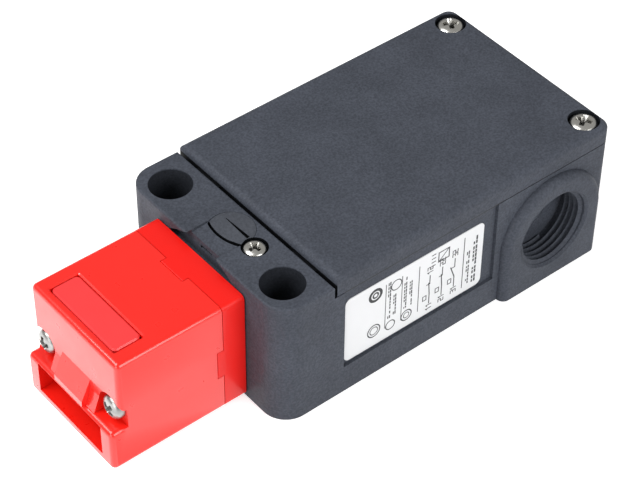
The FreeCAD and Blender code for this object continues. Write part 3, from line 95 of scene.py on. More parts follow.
def make_world():
    world = bpy.data.worlds.new("studio")
    world.use_nodes = True
    bpy.context.scene.world = world
    nodes, links = world.node_tree.nodes, world.node_tree.links
    nodes.clear()
    out = nodes.new("ShaderNodeOutputWorld")
    soft = nodes.new("ShaderNodeBackground")
    soft.inputs["Color"].default_value = (1.0, 0.985, 0.95, 1.0)
    soft.inputs["Strength"].default_value = SKY_STRENGTH
    seen = nodes.new("ShaderNodeBackground")
    seen.inputs["Color"].default_value = (1.0, 1.0, 1.0, 1.0)
    seen.inputs["Strength"].default_value = 1.0
    path = nodes.new("ShaderNodeLightPath")
    pick = nodes.new("ShaderNodeMixShader")
    links.new(path.outputs["Is Camera Ray"], pick.inputs[0])
    links.new(soft.outputs[0], pick.inputs[1])
    links.new(seen.outputs[0], pick.inputs[2])
    links.new(pick.outputs[0], out.inputs["Surface"])


def make_lamp(name, place, size, power):
    lamp = bpy.data.objects.new(name, bpy.data.lights.new(name, "AREA"))
    lamp.data.size = size
    lamp.data.energy = power
    place = Vector(place)
    aim = (-place).to_track_quat("-Z", "Y").to_matrix().to_4x4()
    lamp.matrix_world = Matrix.Translation(place) @ aim
    bpy.context.collection.objects.link(lamp)


make_world()
make_lamp("key_lamp", (-0.45, 0.25, 0.75), 0.5, 5.4)
make_lamp("front_lamp", (-0.8, -0.2, 0.30), 0.5, 2.4)
make_lamp("side_lamp", (0.10, -0.80, 0.46), 0.5, 4.3)


def make_floor():
    mesh = bpy.data.meshes.new("table")
    half = 3.0
    corners = [(-half, -half, 0), (half, -half, 0), (half, half, 0), (-half, half, 0)]
    mesh.from_pydata([(x, y, -0.0002) for x, y, _ in corners], [], [(0, 1, 2, 3)])
    table = bpy.data.objects.new("table", mesh)
    bpy.context.collection.objects.link(table)
    paint = bpy.data.materials.new("white_table")
    paint.use_nodes = True
    nodes, links = paint.node_tree.nodes, paint.node_tree.links
    shader = nodes["Principled BSDF"]
    shader.inputs["Base Color"].default_value = (0.9, 0.9, 0.9, 1.0)
    shader.inputs["Roughness"].default_value = 0.9
    glow = nodes.new("ShaderNodeEmission")
    glow.inputs["Strength"].default_value = 0.62
    both = nodes.new("ShaderNodeAddShader")
    path = nodes.new("ShaderNodeLightPath")
    pick = nodes.new("ShaderNodeMixShader")
    links.new(shader.outputs[0], both.inputs[0])
    links.new(glow.outputs[0], both.inputs[1])
    links.new(path.outputs["Is Camera Ray"], pick.inputs[0])
    links.new(shader.outputs[0], pick.inputs[1])
    links.new(both.outputs[0], pick.inputs[2])

    # To mirrors the table is a light box that is brightest in front of the head.
    place = nodes.new("ShaderNodeTexCoord")
    axes = nodes.new("ShaderNodeSeparateXYZ")
    across = nodes.new("ShaderNodeMath")
    across.operation = "SUBTRACT"
    ramp = nodes.new("ShaderNodeMapRange")
    ramp.inputs["From Min"].default_value = 0.04
    ramp.inputs["From Max"].default_value = 0.08
    ramp.inputs["To Min"].default_value = TABLE_SHINE[0]
    ramp.inputs["To Max"].default_value = TABLE_SHINE[1]
    shine = nodes.new("ShaderNodeEmission")
    mirrored = nodes.new("ShaderNodeMixShader")
    links.new(place.outputs["Object"], axes.inputs[0])
    links.new(axes.outputs["Y"], across.inputs[0])
    links.new(axes.outputs["X"], across.inputs[1])
    links.new(across.outputs[0], ramp.inputs["Value"])
    links.new(ramp.outputs["Result"], shine.inputs["Strength"])
    links.new(path.outputs["Is Glossy Ray"], mirrored.inputs[0])
    links.new(pick.outputs[0], mirrored.inputs[1])
    links.new(shine.outputs[0], mirrored.inputs[2])
    links.new(mirrored.outputs[0], nodes["Material Output"].inputs["Surface"])
    mesh.materials.append(paint)


make_floor()

# %% [markdown]
# ## Finishes
# Every finish is a small node tree on Object coordinates, so that its grain keeps its size in
# millimetres on each piece. One helper makes the tree: a noise that varies the colour a
# little, a second one that varies the roughness, and a fine one that makes the bump. It also
# paints shade into the colour: near black where a piece marks a recess, and darker in zones.

# %% A helper for finishes


def inside_zone(nodes, links, point, low, high, is_round):
    """One inside a box, or inside the upright cylinder that fits it, and zero outside."""

    def vector(operation, first, second=None):
        node = nodes.new("ShaderNodeVectorMath")
        node.operation = operation
        links.new(first, node.inputs[0])
        if second is not None:
            node.inputs[1].default_value = second
        return node

    def maths(operation, first, second):
        node = nodes.new("ShaderNodeMath")
        node.operation = operation
        links.new(first, node.inputs[0])
        if isinstance(second, float):
            node.inputs[1].default_value = second
        else:
            links.new(second, node.inputs[1])
        return node.outputs[0]

    centre = (Vector(low) + Vector(high)) / 2 * MM
    half = (Vector(high) - Vector(low)) / 2 * MM
    scaled = vector("DIVIDE", vector("SUBTRACT", point, centre).outputs[0], half)
    split = nodes.new("ShaderNodeSeparateXYZ")
    links.new(vector("ABSOLUTE", scaled.outputs[0]).outputs[0], split.inputs[0])
    if is_round:
        flat = vector("LENGTH", vector("MULTIPLY", scaled.outputs[0], (1, 1, 0)).outputs[0])
        across = flat.outputs["Value"]
    else:
        across = maths("MAXIMUM", split.outputs["X"], split.outputs["Y"])
    return maths("LESS_THAN", maths("MAXIMUM", across, split.outputs["Z"]), 1.0)


def finish(name, colour, roughness, metallic=0.0, grain=1.0, bump=0.02, vary=0.08, coat=0.0,
           blotch=12.0, specular=0.5, speckle=0.0, rough_grain=4.0, shade_zones=()):
    """A Principled material: blotch and grain are noise sizes in millimetres."""
    paint = bpy.data.materials.new(name)
    paint.use_nodes = True
    nodes, links = paint.node_tree.nodes, paint.node_tree.links
    shader = nodes["Principled BSDF"]
    shader.inputs["Metallic"].default_value = metallic
    shader.inputs["Coat Weight"].default_value = coat
    shader.inputs["Coat Roughness"].default_value = 0.08
    shader.inputs["Specular IOR Level"].default_value = specular
    place = nodes.new("ShaderNodeTexCoord")

    def noise(size, detail):
        node = nodes.new("ShaderNodeTexNoise")
        node.inputs["Scale"].default_value = 1.0 / (size * MM)
        node.inputs["Detail"].default_value = detail
        links.new(place.outputs["Object"], node.inputs["Vector"])
        return node.outputs["Fac"]

    def spread(value, low, high):
        node = nodes.new("ShaderNodeMapRange")
        node.inputs["From Min"].default_value = 0.3
        node.inputs["From Max"].default_value = 0.7
        node.inputs["To Min"].default_value = low
        node.inputs["To Max"].default_value = high
        links.new(value, node.inputs["Value"])
        return node.outputs["Result"]

    mix = nodes.new("ShaderNodeMix")
    mix.data_type = "RGBA"
    mix.inputs["A"].default_value = (*[c * (1 - vary) for c in colour], 1.0)
    mix.inputs["B"].default_value = (*[min(1, c * (1 + vary)) for c in colour], 1.0)
    links.new(spread(noise(blotch, 3), 0.0, 1.0), mix.inputs["Factor"])
    shade = nodes.new("ShaderNodeMix")
    shade.data_type = "RGBA"
    shade.blend_type = "MULTIPLY"
    shade.inputs["Factor"].default_value = 1.0
    links.new(mix.outputs["Result"], shade.inputs["A"])
    links.new(spread(noise(grain * 1.6, 2), 1 - speckle, 1 + speckle), shade.inputs["B"])
    # Painted shade: where a piece's recess attribute is set, as in screw recesses, the colour goes
    # towards near black.
    hollow = nodes.new("ShaderNodeAttribute")
    hollow.attribute_name = "recess"
    recess_shade = nodes.new("ShaderNodeMix")
    recess_shade.data_type = "RGBA"
    recess_shade.inputs["B"].default_value = (0.03, 0.03, 0.03, 1.0)
    links.new(hollow.outputs["Fac"], recess_shade.inputs["Factor"])
    links.new(shade.outputs["Result"], recess_shade.inputs["A"])
    colour_end = recess_shade.outputs["Result"]
    # Painted shade: inside each zone the colour is multiplied down to the share that the zone
    # keeps.
    for low, high, is_round, keep in shade_zones:
        dark = nodes.new("ShaderNodeMix")
        dark.data_type = "RGBA"
        dark.blend_type = "MULTIPLY"
        dark.inputs["B"].default_value = (keep, keep, keep, 1.0)
        links.new(inside_zone(nodes, links, place.outputs["Object"], low, high, is_round),
                  dark.inputs["Factor"])
        links.new(colour_end, dark.inputs["A"])
        colour_end = dark.outputs["Result"]
    links.new(colour_end, shader.inputs["Base Color"])
    links.new(spread(noise(blotch / 3, 3), roughness * 0.9, roughness * 1.1),
              shader.inputs["Roughness"])
    relief = nodes.new("ShaderNodeBump")
    relief.inputs["Strength"].default_value = 0.6
    relief.inputs["Distance"].default_value = bump * MM
    links.new(noise(grain, rough_grain), relief.inputs["Height"])
    links.new(relief.outputs["Normal"], shader.inputs["Normal"])
    return paint


# %% [markdown]
# Deep, narrow places get painted shade: a darker base colour than the rest, where the lamps
# alone leave them too light. Each zone has a low and a high corner in millimetres, says whether
# it is round, and gives the share of the colour that it keeps. They are the bores for the fixing
# screws, the joint ahead of the cover, the rings round the cover's screws, and the release well,
# whose top follows the ramp in steps. The shade zones hold only what lies below the surface.

# %% Make the finishes
SIDES = (1, -1)
FIXING_Y, FIXING_HALF = 20.0, 5.3
SCREW_Y, SCREW_HALF = 22.875, 3.875
DEEP_SHADE_ZONES = [
    *[((-28.9, side * FIXING_Y - FIXING_HALF, 1.0),
       (-18.3, side * FIXING_Y + FIXING_HALF, 34.2), True, 0.4) for side in SIDES],
    ((-15.9, -27.9, 31.0), (-15.0, 27.9, 34.35), False, 0.08),
    *[((58.3, side * SCREW_Y - SCREW_HALF, 31.5),
       (66.05, side * SCREW_Y + SCREW_HALF, 35.95), True, 0.2) for side in SIDES],
]
# Painted shade in the release well, one box for each step of the ramp.
STEP_LENGTH = 2.1
RAMP_STEPS = ((-28.3, 33.84), (-26.2, 34.02), (-24.1, 34.2), (-22.0, 34.36), (-19.9, 34.4))
WELL_SHADE_ZONES = [((x, -10.9, 30.0), (x + STEP_LENGTH, 7.2, top), False, 0.06)
              for x, top in RAMP_STEPS]
FINISHES = {
    "charcoal_moulding": finish("charcoal_moulding", (0.062, 0.069, 0.087), 0.55, grain=0.32,
                                bump=0.05, vary=0.10, specular=0.12, speckle=0.22,
                                shade_zones=DEEP_SHADE_ZONES + WELL_SHADE_ZONES),
    "red_enamel": finish("red_enamel", (0.90, 0.014, 0.007), 0.30, grain=3.0, bump=0.004,
                         vary=0.02, coat=0.55, rough_grain=0.5),
    "red_plug_plastic": finish("red_plug_plastic", (0.88, 0.042, 0.045), 0.40, grain=0.6,
                               bump=0.006, vary=0.03, coat=0.15),
    "bright_screw": finish("zinc_plate", (0.72, 0.71, 0.68), 0.26, metallic=1.0, grain=0.4,
                           bump=0.008),
    "dark_steel": finish("oiled_steel", (0.33, 0.33, 0.34), 0.34, metallic=1.0, grain=0.5,
                         bump=0.01),
    "label_film": finish("label_film", (0.80, 0.81, 0.83), 0.40, grain=0.5, bump=0.003, vary=0.02),
    "gasket_rubber": finish("nitrile_rubber", (0.025, 0.025, 0.026), 0.75, grain=0.4, bump=0.02),
    "bronze_bush": finish("sintered_bronze", (0.62, 0.42, 0.22), 0.45, metallic=1.0, grain=0.25,
                          bump=0.02),
    "contact_moulding": finish("pale_moulding", (0.70, 0.68, 0.62), 0.5, grain=0.4, bump=0.015),
    "contact_metal": finish("silvered_brass", (0.80, 0.68, 0.42), 0.3, metallic=1.0, grain=0.4,
                            bump=0.008),
    "spring_steel": finish("spring_wire", (0.58, 0.58, 0.59), 0.28, metallic=1.0, grain=0.5,
                           bump=0.006),
    "bobbin_plastic": finish("natural_nylon", (0.72, 0.70, 0.60), 0.45, grain=0.5, bump=0.01),
    "coil_copper": finish("enamelled_copper", (0.55, 0.20, 0.07), 0.3, metallic=0.8, grain=0.3,
                          bump=0.02, coat=0.4),
    "release_metal": finish("release_moulding", (0.066, 0.072, 0.087), 0.5, grain=0.35,
                            bump=0.03, vary=0.08, specular=0.15, speckle=0.15,
                            shade_zones=WELL_SHADE_ZONES),
}
# The head screws get a darker, rougher copy of the zinc plate with large blotches: the darker
# colour is painted shade, and the blotches are painted mottled reflections.
HEAD_SCREW_SHADED = finish("zinc_plate_dull_shaded", (0.40, 0.40, 0.39), 0.34, metallic=1.0, grain=0.4,
                    bump=0.01, vary=0.25, blotch=2.0)
BASE_ENAMEL = finish("red_enamel_base", (0.86, 0.010, 0.006), 0.38, grain=3.0, bump=0.004,
                     vary=0.02, coat=0.12, specular=0.3, rough_grain=0.5)
slots = {row["node"]: row["material_slot"] for row in frame["record"]["subparts"]}
for name, piece in frame["nodes"].items():
    for slot in piece.material_slots:
        slot.material = BASE_ENAMEL if name == "head_base" else FINISHES[slots[name]]
print("finishes:", len(FINISHES))

# %% [markdown]
# ## Screws
# The CAD has each screw as a plain solid with the right head and shank. Here every group of
# screws is measured from its own solids, one template with a driven recess is cut for it, and
# a small node tree puts a copy at each place. The recess is a Boolean with a tapered cutter.

# %% Helpers for new pieces


def new_piece(name, mesh, material=None):
    piece = bpy.data.objects.new(name, mesh)
    bpy.context.collection.objects.link(piece)
    if material:
        mesh.materials.clear()
        mesh.materials.append(material)
    return piece


def settle(piece):
    """Turn an object's modifiers into its plain mesh."""
    bpy.context.view_layer.update()
    graph = bpy.context.evaluated_depsgraph_get()
    piece.data, old = bpy.data.meshes.new_from_object(piece.evaluated_get(graph)), piece.data
    piece.modifiers.clear()
    bpy.data.meshes.remove(old)


def soften(mesh, degrees=35):
    """Smooth shading, apart from edges sharper than the given angle."""
    shape = bmesh.new()
    shape.from_mesh(mesh)
    bmesh.ops.recalc_face_normals(shape, faces=shape.faces)
    for face in shape.faces:
        face.smooth = True
    for edge in shape.edges:
        if len(edge.link_faces) == 2:
            edge.smooth = edge.calc_face_angle(0.0) < math.radians(degrees)
    shape.to_mesh(mesh)
    shape.free()


def lathe(name, profile, sides=64):
    """A solid turned about Z from (radius, height) points that start and end on the axis."""
    shape = bmesh.new()
    rows = []
    for radius, height in profile:
        if radius < 1e-9:
            rows.append([shape.verts.new((0, 0, height))])
            continue
        turns = [2 * math.pi * k / sides for k in range(sides)]
        rows.append([shape.verts.new((radius * math.cos(a), radius * math.sin(a), height))
                     for a in turns])
    for low, high in zip(rows, rows[1:]):
        for k in range(sides):
            n = (k + 1) % sides
            ring = [low[k % len(low)], low[n % len(low)], high[n % len(high)], high[k % len(high)]]
            shape.faces.new(list(dict.fromkeys(ring)))
    mesh = bpy.data.meshes.new(name)
    shape.to_mesh(mesh)
    shape.free()
    return mesh


def prism(name, outline, low, high, low_scale=1.0):
    """A closed prism over an outline, tapered towards its lower end."""
    shape = bmesh.new()
    bottom = [shape.verts.new((x * low_scale, y * low_scale, low)) for x, y in outline]
    top = [shape.verts.new((x, y, high)) for x, y in outline]
    count = len(outline)
    for k in range(count):
        n = (k + 1) % count
        shape.faces.new((bottom[k], bottom[n], top[n], top[k]))
    shape.faces.new(bottom[::-1])
    shape.faces.new(top)
    mesh = bpy.data.meshes.new(name)
    shape.to_mesh(mesh)
    shape.free()
    return mesh


# %% [markdown]
# The tree below has named inputs for the copied object and its finish. Each point carries a
# `turn` attribute, three Euler angles, so that one tree serves screws that face any way.

# %% A tree that copies an object to points


def make_copies_tree():
    tree = bpy.data.node_groups.new("copies_at_points", "GeometryNodeTree")
    face = tree.interface
    face.new_socket("Points", in_out="INPUT", socket_type="NodeSocketGeometry")
    face.new_socket("Copy", in_out="INPUT", socket_type="NodeSocketObject")
    face.new_socket("Finish", in_out="INPUT", socket_type="NodeSocketMaterial")
    face.new_socket("Geometry", in_out="OUTPUT", socket_type="NodeSocketGeometry")
    nodes, links = tree.nodes, tree.links
    start, end = nodes.new("NodeGroupInput"), nodes.new("NodeGroupOutput")
    copied = nodes.new("GeometryNodeObjectInfo")
    turn = nodes.new("GeometryNodeInputNamedAttribute")
    turn.data_type = "FLOAT_VECTOR"
    turn.inputs["Name"].default_value = "turn"
    put = nodes.new("GeometryNodeInstanceOnPoints")
    real = nodes.new("GeometryNodeRealizeInstances")
    paint = nodes.new("GeometryNodeSetMaterial")
    links.new(start.outputs["Copy"], copied.inputs["Object"])
    links.new(start.outputs["Points"], put.inputs["Points"])
    links.new(copied.outputs["Geometry"], put.inputs["Instance"])
    links.new(turn.outputs["Attribute"], put.inputs["Rotation"])
    links.new(put.outputs["Instances"], real.inputs["Geometry"])
    links.new(real.outputs["Geometry"], paint.inputs["Geometry"])
    links.new(start.outputs["Finish"], paint.inputs["Material"])
    links.new(paint.outputs["Geometry"], end.inputs["Geometry"])
    return tree


COPIES = make_copies_tree()


def run_tree(piece, tree, **values):
    """Add the tree as a modifier, set its inputs by identifier, and settle it."""
    modifier = piece.modifiers.new("nodes", "NODES")
    modifier.node_group = tree
    names = {item.name: item.identifier for item in tree.interface.items_tree
             if item.in_out == "INPUT"}
    for name, value in values.items():
        modifier[names[name]] = value
    settle(piece)


def copies(name, template, places, material):
    """One plain mesh holding a copy of template at each (point, Euler angles) place."""
    mesh = bpy.data.meshes.new(name)
    mesh.from_pydata([point for point, _ in places], [], [])
    turns = mesh.attributes.new("turn", "FLOAT_VECTOR", "POINT")
    turns.data.foreach_set("vector", [angle for _, turn in places for angle in turn])
    piece = new_piece(name, mesh)
    run_tree(piece, COPIES, Copy=template, Finish=material)
    return piece


print("tree inputs:", [item.name for item in COPIES.interface.items_tree])

# %% [markdown]
# A screw template stands on its seat at z = 0 with its head up. A cross recess has four arms
# with a round middle; a slotted one is a single groove right across.

# %% Screw templates


def screw_solid(name, head, height, shank, length):
    profile = [(0, -length), (shank - 0.25 * MM, -length), (shank, -length + 0.3 * MM),
               (shank, 0), (head * 0.97, 0), (head, 0.05 * height), (head, 0.34 * height)]
    for step in range(1, 13):
        angle = math.radians(90 * step / 12)
        profile.append((head * math.cos(angle) ** 0.75 if step < 12 else 0,
                        height * (0.34 + 0.66 * math.sin(angle) ** 0.9)))
    return new_piece(name, lathe(name, profile))


def cross_outline(reach, half):
    """A plus sign whose arms flare a little towards their ends."""
    arm = [(half * 1.5, half), (reach * 0.92, half * 1.12), (reach, half * 0.7),
           (reach, -half * 0.7), (reach * 0.92, -half * 1.12), (half * 1.5, -half)]
    points = []
    for quarter in range(4):
        turn = Matrix.Rotation(-math.radians(90 * quarter), 2)
        points += [tuple(turn @ Vector(corner)) for corner in arm]
    return points


def cut_recess(screw, head, height, slotted):
    if slotted:
        half, reach = head * 0.16, head * 1.2
        outline = [(-reach, -half), (reach, -half), (reach, half), (-reach, half)]
        cutter = new_piece("cutter", prism("cutter", outline, height * 0.5, height * 1.5))
    else:
        outline = cross_outline(head * 0.64, head * 0.18)
        wedge = prism("cutter", outline[::-1], height * 0.12, height * 1.02, 0.5)
        cutter = new_piece("cutter", wedge)
    soften(cutter.data, 1)
    soften(screw.data)
    trim = screw.modifiers.new("recess", "BOOLEAN")
    trim.object = cutter
    trim.operation = "DIFFERENCE"
    trim.solver = "EXACT"
    settle(screw)
    bpy.data.objects.remove(cutter)
    soften(screw.data)
    mark_recess(screw.data, head, height)


def crown(radius, head, height):
    """The head's height at a radius, from the same curve as its profile."""
    cosine = min(1.0, radius / head) ** (1 / 0.75)
    return height * (0.34 + 0.66 * math.sqrt(max(0.0, 1 - cosine * cosine)) ** 0.9)


def mark_recess(mesh, head, height):
    """Store how far each corner lies below the crown, so that the finish paints shade there."""
    marks = mesh.attributes.new("recess", "FLOAT", "POINT")
    for vert, mark in zip(mesh.vertices, marks.data):
        radius = vert.co.xy.length
        sunk = crown(radius, head, height) - vert.co.z
        in_head = radius < head * 0.9 and vert.co.z > 0
        mark.value = 0.85 if in_head and sunk > 0.14 * height else 0.0


def islands(node):
    """The vertex positions of each separate solid in a CAD node."""
    shape = bmesh.new()
    shape.from_mesh(frame["nodes"][node].data)
    bmesh.ops.remove_doubles(shape, verts=shape.verts, dist=1e-6)
    left, groups = set(shape.verts), []
    while left:
        queue, group = [left.pop()], []
        while queue:
            vert = queue.pop()
            group.append(vert.co.copy())
            for edge in vert.link_edges:
                other = edge.other_vert(vert)
                if other in left:
                    left.remove(other)
                    queue.append(other)
        groups.append(group)
    shape.free()
    return sorted(groups, key=lambda g: tuple(round(sum(axis) / len(g), 5) for axis in zip(*g)))


def measure(points, up):
    """Head radius, head height, shank radius, length and seat of a screw along up."""
    heights = [p.dot(up) for p in points]
    low, high = min(heights), max(heights)
    middles = []
    for k in range(3):
        values = [p[k] for p in points]
        middles.append((min(values) + max(values)) / 2)
    centre = Vector(middles)
    centre -= up * centre.dot(up)
    radii = [(p - up * p.dot(up) - centre).length for p in points]
    head = max(radii)
    seat = min(h for h, r in zip(heights, radii) if r > head * 0.99)
    shank = max(r for h, r in zip(heights, radii) if h < low + 1e-5)
    return head, high - seat, shank, seat - low, centre + up * seat


def body_of_node(node):
    for body, members in frame["record"]["behaviour"]["bodies"].items():
        if node in members:
            return body
    return "switch_body"


UP, FRONT = Vector((0, 0, 1)), Vector((-1, 0, 0))
SCREWS = {
    "cover_screws": (UP, False, (28, 61)),
    "head_screws": (FRONT, False, (52, 14)),
    "release_screw": (UP, False, (8,)),
    "block_screws": (UP, True, (35, 80)),
    "terminal_screws": (UP, True, (20, 75, 110, 160, 40, 95)),
    "earth_screw": (UP, True, (55,)),
    "solenoid_screws": (UP, False, (15, 70)),
    "coil_terminal_screws": (UP, True, (30, 120)),
}

# %% Put the screws in


def dress_screws(node, up, slotted, spins):
    solids = islands(node)
    sizes = [measure(points, up) for points in solids]
    head, height, shank, length, _ = sizes[0]
    template = screw_solid(node + "_template", head, height, shank, length)
    cut_recess(template, head, height, slotted)
    places = []
    for number, size in enumerate(sizes):
        spin = Matrix.Rotation(math.radians(spins[number % len(spins)]), 3, "Z")
        stand = up.to_track_quat("Z", "Y").to_matrix() @ spin
        places.append((tuple(size[4]), tuple(stand.to_euler())))
    slot = slots[node]
    piece = copies(node + "_driven", template, places,
                   HEAD_SCREW_SHADED if node == "head_screws" else FINISHES[slot])
    bpy.data.objects.remove(template)
    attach(piece, body_of_node(node))
    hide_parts(node)
    print(f"{node}: {len(places)} screws, head {2000 * head:.1f} mm")


for node, (up, slotted, spins) in SCREWS.items():
    dress_screws(node, up, slotted, spins)

# %% [markdown]
# ## Threads
# The CAD bores are plain at the thread's full width. The ridge that stands inward from the
# bore is a helix: a triangle of 60 degrees swept along a spiral, 1.5 mm per turn.

# %% A tree for one thread


def make_thread_tree():
    tree = bpy.data.node_groups.new("thread_ridge", "GeometryNodeTree")
    face = tree.interface
    face.new_socket("Geometry", in_out="INPUT", socket_type="NodeSocketGeometry")
    for name, value in (("Radius", 0.01), ("Pitch", 0.0015), ("Turns", 4.0), ("Ridge", 0.0007)):
        item = face.new_socket(name, in_out="INPUT", socket_type="NodeSocketFloat")
        item.default_value = value
    face.new_socket("Finish", in_out="INPUT", socket_type="NodeSocketMaterial")
    face.new_socket("Geometry", in_out="OUTPUT", socket_type="NodeSocketGeometry")
    nodes, links = tree.nodes, tree.links
    start, end = nodes.new("NodeGroupInput"), nodes.new("NodeGroupOutput")

    def maths(operation, first, second):
        node = nodes.new("ShaderNodeMath")
        node.operation = operation
        for socket, value in zip(node.inputs, (first, second)):
            if isinstance(value, float):
                socket.default_value = value
            else:
                links.new(value, socket)
        return node.outputs[0]

    # The triangle's middle stands half its outer radius inside the bore.
    middle = maths("SUBTRACT", start.outputs["Radius"],
                   maths("MULTIPLY", start.outputs["Ridge"], 0.44))
    spiral = nodes.new("GeometryNodeCurveSpiral")
    spiral.inputs["Resolution"].default_value = 72
    links.new(start.outputs["Turns"], spiral.inputs["Rotations"])
    links.new(middle, spiral.inputs["Start Radius"])
    links.new(middle, spiral.inputs["End Radius"])
    links.new(maths("MULTIPLY", start.outputs["Turns"], start.outputs["Pitch"]),
              spiral.inputs["Height"])
    upright = nodes.new("GeometryNodeSetCurveNormal")
    upright.mode = "Z_UP"
    triangle = nodes.new("GeometryNodeCurvePrimitiveCircle")
    triangle.inputs["Resolution"].default_value = 3
    links.new(start.outputs["Ridge"], triangle.inputs["Radius"])
    turned = nodes.new("GeometryNodeTransform")
    turned.inputs["Rotation"].default_value = (0, 0, math.radians(TRIANGLE_TURN))
    sweep = nodes.new("GeometryNodeCurveToMesh")
    sweep.inputs["Fill Caps"].default_value = True
    real = nodes.new("GeometryNodeRealizeInstances")
    paint = nodes.new("GeometryNodeSetMaterial")
    links.new(spiral.outputs["Curve"], upright.inputs["Curve"])
    links.new(upright.outputs["Curve"], sweep.inputs["Curve"])
    links.new(triangle.outputs["Curve"], turned.inputs["Geometry"])
    links.new(turned.outputs["Geometry"], sweep.inputs["Profile Curve"])
    links.new(sweep.outputs["Mesh"], real.inputs["Geometry"])
    links.new(real.outputs["Geometry"], paint.inputs["Geometry"])
    links.new(start.outputs["Finish"], paint.inputs["Material"])
    links.new(paint.outputs["Geometry"], end.inputs["Geometry"])
    return tree


TRIANGLE_TURN = 0.0
THREAD = make_thread_tree()
thread_template = new_piece("thread_template", bpy.data.meshes.new("thread_template"))
run_tree(thread_template, THREAD, Radius=10.0 * MM, Pitch=1.5 * MM, Turns=4.3, Ridge=0.62 * MM,
         Finish=FINISHES["charcoal_moulding"])
soften(thread_template.data, 20)
radii = [Vector(v.co.xy).length / MM for v in thread_template.data.vertices]
print(f"thread: radius {min(radii):.2f} to {max(radii):.2f} mm")

# %% [markdown]
# The three entries face -Y, +Y and +X. A template's height runs from its mouth inwards, so
# each one is turned until its Z axis points into the housing.

# %% Put a thread in each entry
ENTRY_X, ENTRY_Z, BOSS_FACE, REAR_FACE, FIRST_TURN = 48.625, 14.85, 30.1, 66.575, 1.0


def into(point, inward):
    return (tuple(Vector(point) * MM),
            tuple(Vector(inward).to_track_quat("Z", "Y").to_matrix().to_euler()))


ENTRIES = [
    into((ENTRY_X, -BOSS_FACE + FIRST_TURN, ENTRY_Z), (0, 1, 0)),
    into((ENTRY_X, BOSS_FACE - FIRST_TURN, ENTRY_Z), (0, -1, 0)),
    into((REAR_FACE - FIRST_TURN, 0, ENTRY_Z), (-1, 0, 0)),
]
threads = copies("entry_threads", thread_template, ENTRIES, FINISHES["charcoal_moulding"])
bpy.data.objects.remove(thread_template)
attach(threads, "switch_body")
print("thread faces:", len(threads.data.polygons))

# %% [markdown]
# ## Knock-out rings
# Each blind end has a low raised ring, where the skin is meant to break. It is a thin washer
# with rounded shoulders that stands a fraction of a millimetre off the skin.

# %% Make the knock-out rings


def washer(name, inner, outer, low, high, sides=72):
    edge = (high - low) * 0.45
    section = [(inner, low), (inner, high - edge), (inner + edge, high), (outer - edge, high),
               (outer, high - edge), (outer, low)]
    shape = bmesh.new()
    rows = []
    for k in range(sides):
        angle = 2 * math.pi * k / sides
        rows.append([shape.verts.new((r * math.cos(angle), r * math.sin(angle), z))
                     for r, z in section])
    count = len(section)
    for k, row in enumerate(rows):
        after = rows[(k + 1) % sides]
        for j in range(count):
            n = (j + 1) % count
            shape.faces.new((row[j], after[j], after[n], row[n]))
    mesh = bpy.data.meshes.new(name)
    shape.to_mesh(mesh)
    shape.free()
    soften(mesh, 30)
    return mesh


ring_template = new_piece("ring_template",
                          washer("ring", 4.2 * MM, 4.9 * MM, -0.1 * MM, 0.22 * MM))
BLIND_END = 8.0
ring_places = [
    into((ENTRY_X, -BOSS_FACE + BLIND_END, ENTRY_Z), (0, -1, 0)),
    into((ENTRY_X, BOSS_FACE - BLIND_END, ENTRY_Z), (0, 1, 0)),
    into((REAR_FACE - BLIND_END, 0, ENTRY_Z), (1, 0, 0)),
]
rings = copies("knockout_rings", ring_template, ring_places, FINISHES["charcoal_moulding"])
bpy.data.objects.remove(ring_template)
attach(rings, "switch_body")

# %% [markdown]
# ## The plug's opening and the head's joint
# The red cap's top opening has a small chamfer all round, which catches the light on its far
# sides. A copy of the cap is merged and a frustum a little wider than the plug is cut from it.
# Where the cap meets the base, both have slightly rounded outer edges.

# %% Chamfer the opening


def rounded_box(low, high, grow, radius, steps=6):
    """A rectangle in the XY plane with round corners, grown outwards."""
    points = []
    x0, y0, x1, y1 = low.x - grow, low.y - grow, high.x + grow, high.y + grow
    corners = [(x1 - radius, y1 - radius, 0), (x0 + radius, y1 - radius, 90),
               (x0 + radius, y0 + radius, 180), (x1 - radius, y0 + radius, 270)]
    for x, y, first in corners:
        for step in range(steps + 1):
            angle = math.radians(first + 90 * step / steps)
            points.append((x + radius * math.cos(angle), y + radius * math.sin(angle)))
    return points


def loft(name, rings):
    """A closed solid through rings of (outline, height), each with as many points."""
    shape = bmesh.new()
    rows = [[shape.verts.new((x, y, z)) for x, y in outline] for outline, z in rings]
    for low, high in zip(rows, rows[1:]):
        for k in range(len(low)):
            n = (k + 1) % len(low)
            shape.faces.new((low[k], low[n], high[n], high[k]))
    shape.faces.new(rows[0][::-1])
    shape.faces.new(rows[-1])
    mesh = bpy.data.meshes.new(name)
    shape.to_mesh(mesh)
    shape.free()
    soften(mesh, 1)
    return mesh


def round_seam(piece, width=0.24 * MM):
    """Round the outer edges of the head's joint, so that it reads as a groove."""
    front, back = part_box("head_base")[0].x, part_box("head_cap")[1].x
    low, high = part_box("head_cap")
    middle, half = (low + high) / 2, (high - low) / 2
    shape = bmesh.new()
    shape.from_mesh(piece.data)
    bmesh.ops.remove_doubles(shape, verts=shape.verts, dist=1e-6)

    def outside(vert):
        share = max(abs(vert.co.y - middle.y) / half.y, abs(vert.co.z - middle.z) / half.z)
        return front - 1e-5 <= vert.co.x <= back + 1e-5 and share > 0.94

    edges = [edge for edge in shape.edges
             if len(edge.link_faces) == 2 and all(outside(vert) for vert in edge.verts)
             and edge.calc_face_angle(0.0) > math.radians(60)]
    bmesh.ops.bevel(shape, geom=edges, offset=width, segments=2, profile=0.5, affect="EDGES",
                    clamp_overlap=True)
    shape.to_mesh(piece.data)
    shape.free()
    print(piece.name, "joint edges:", len(edges))


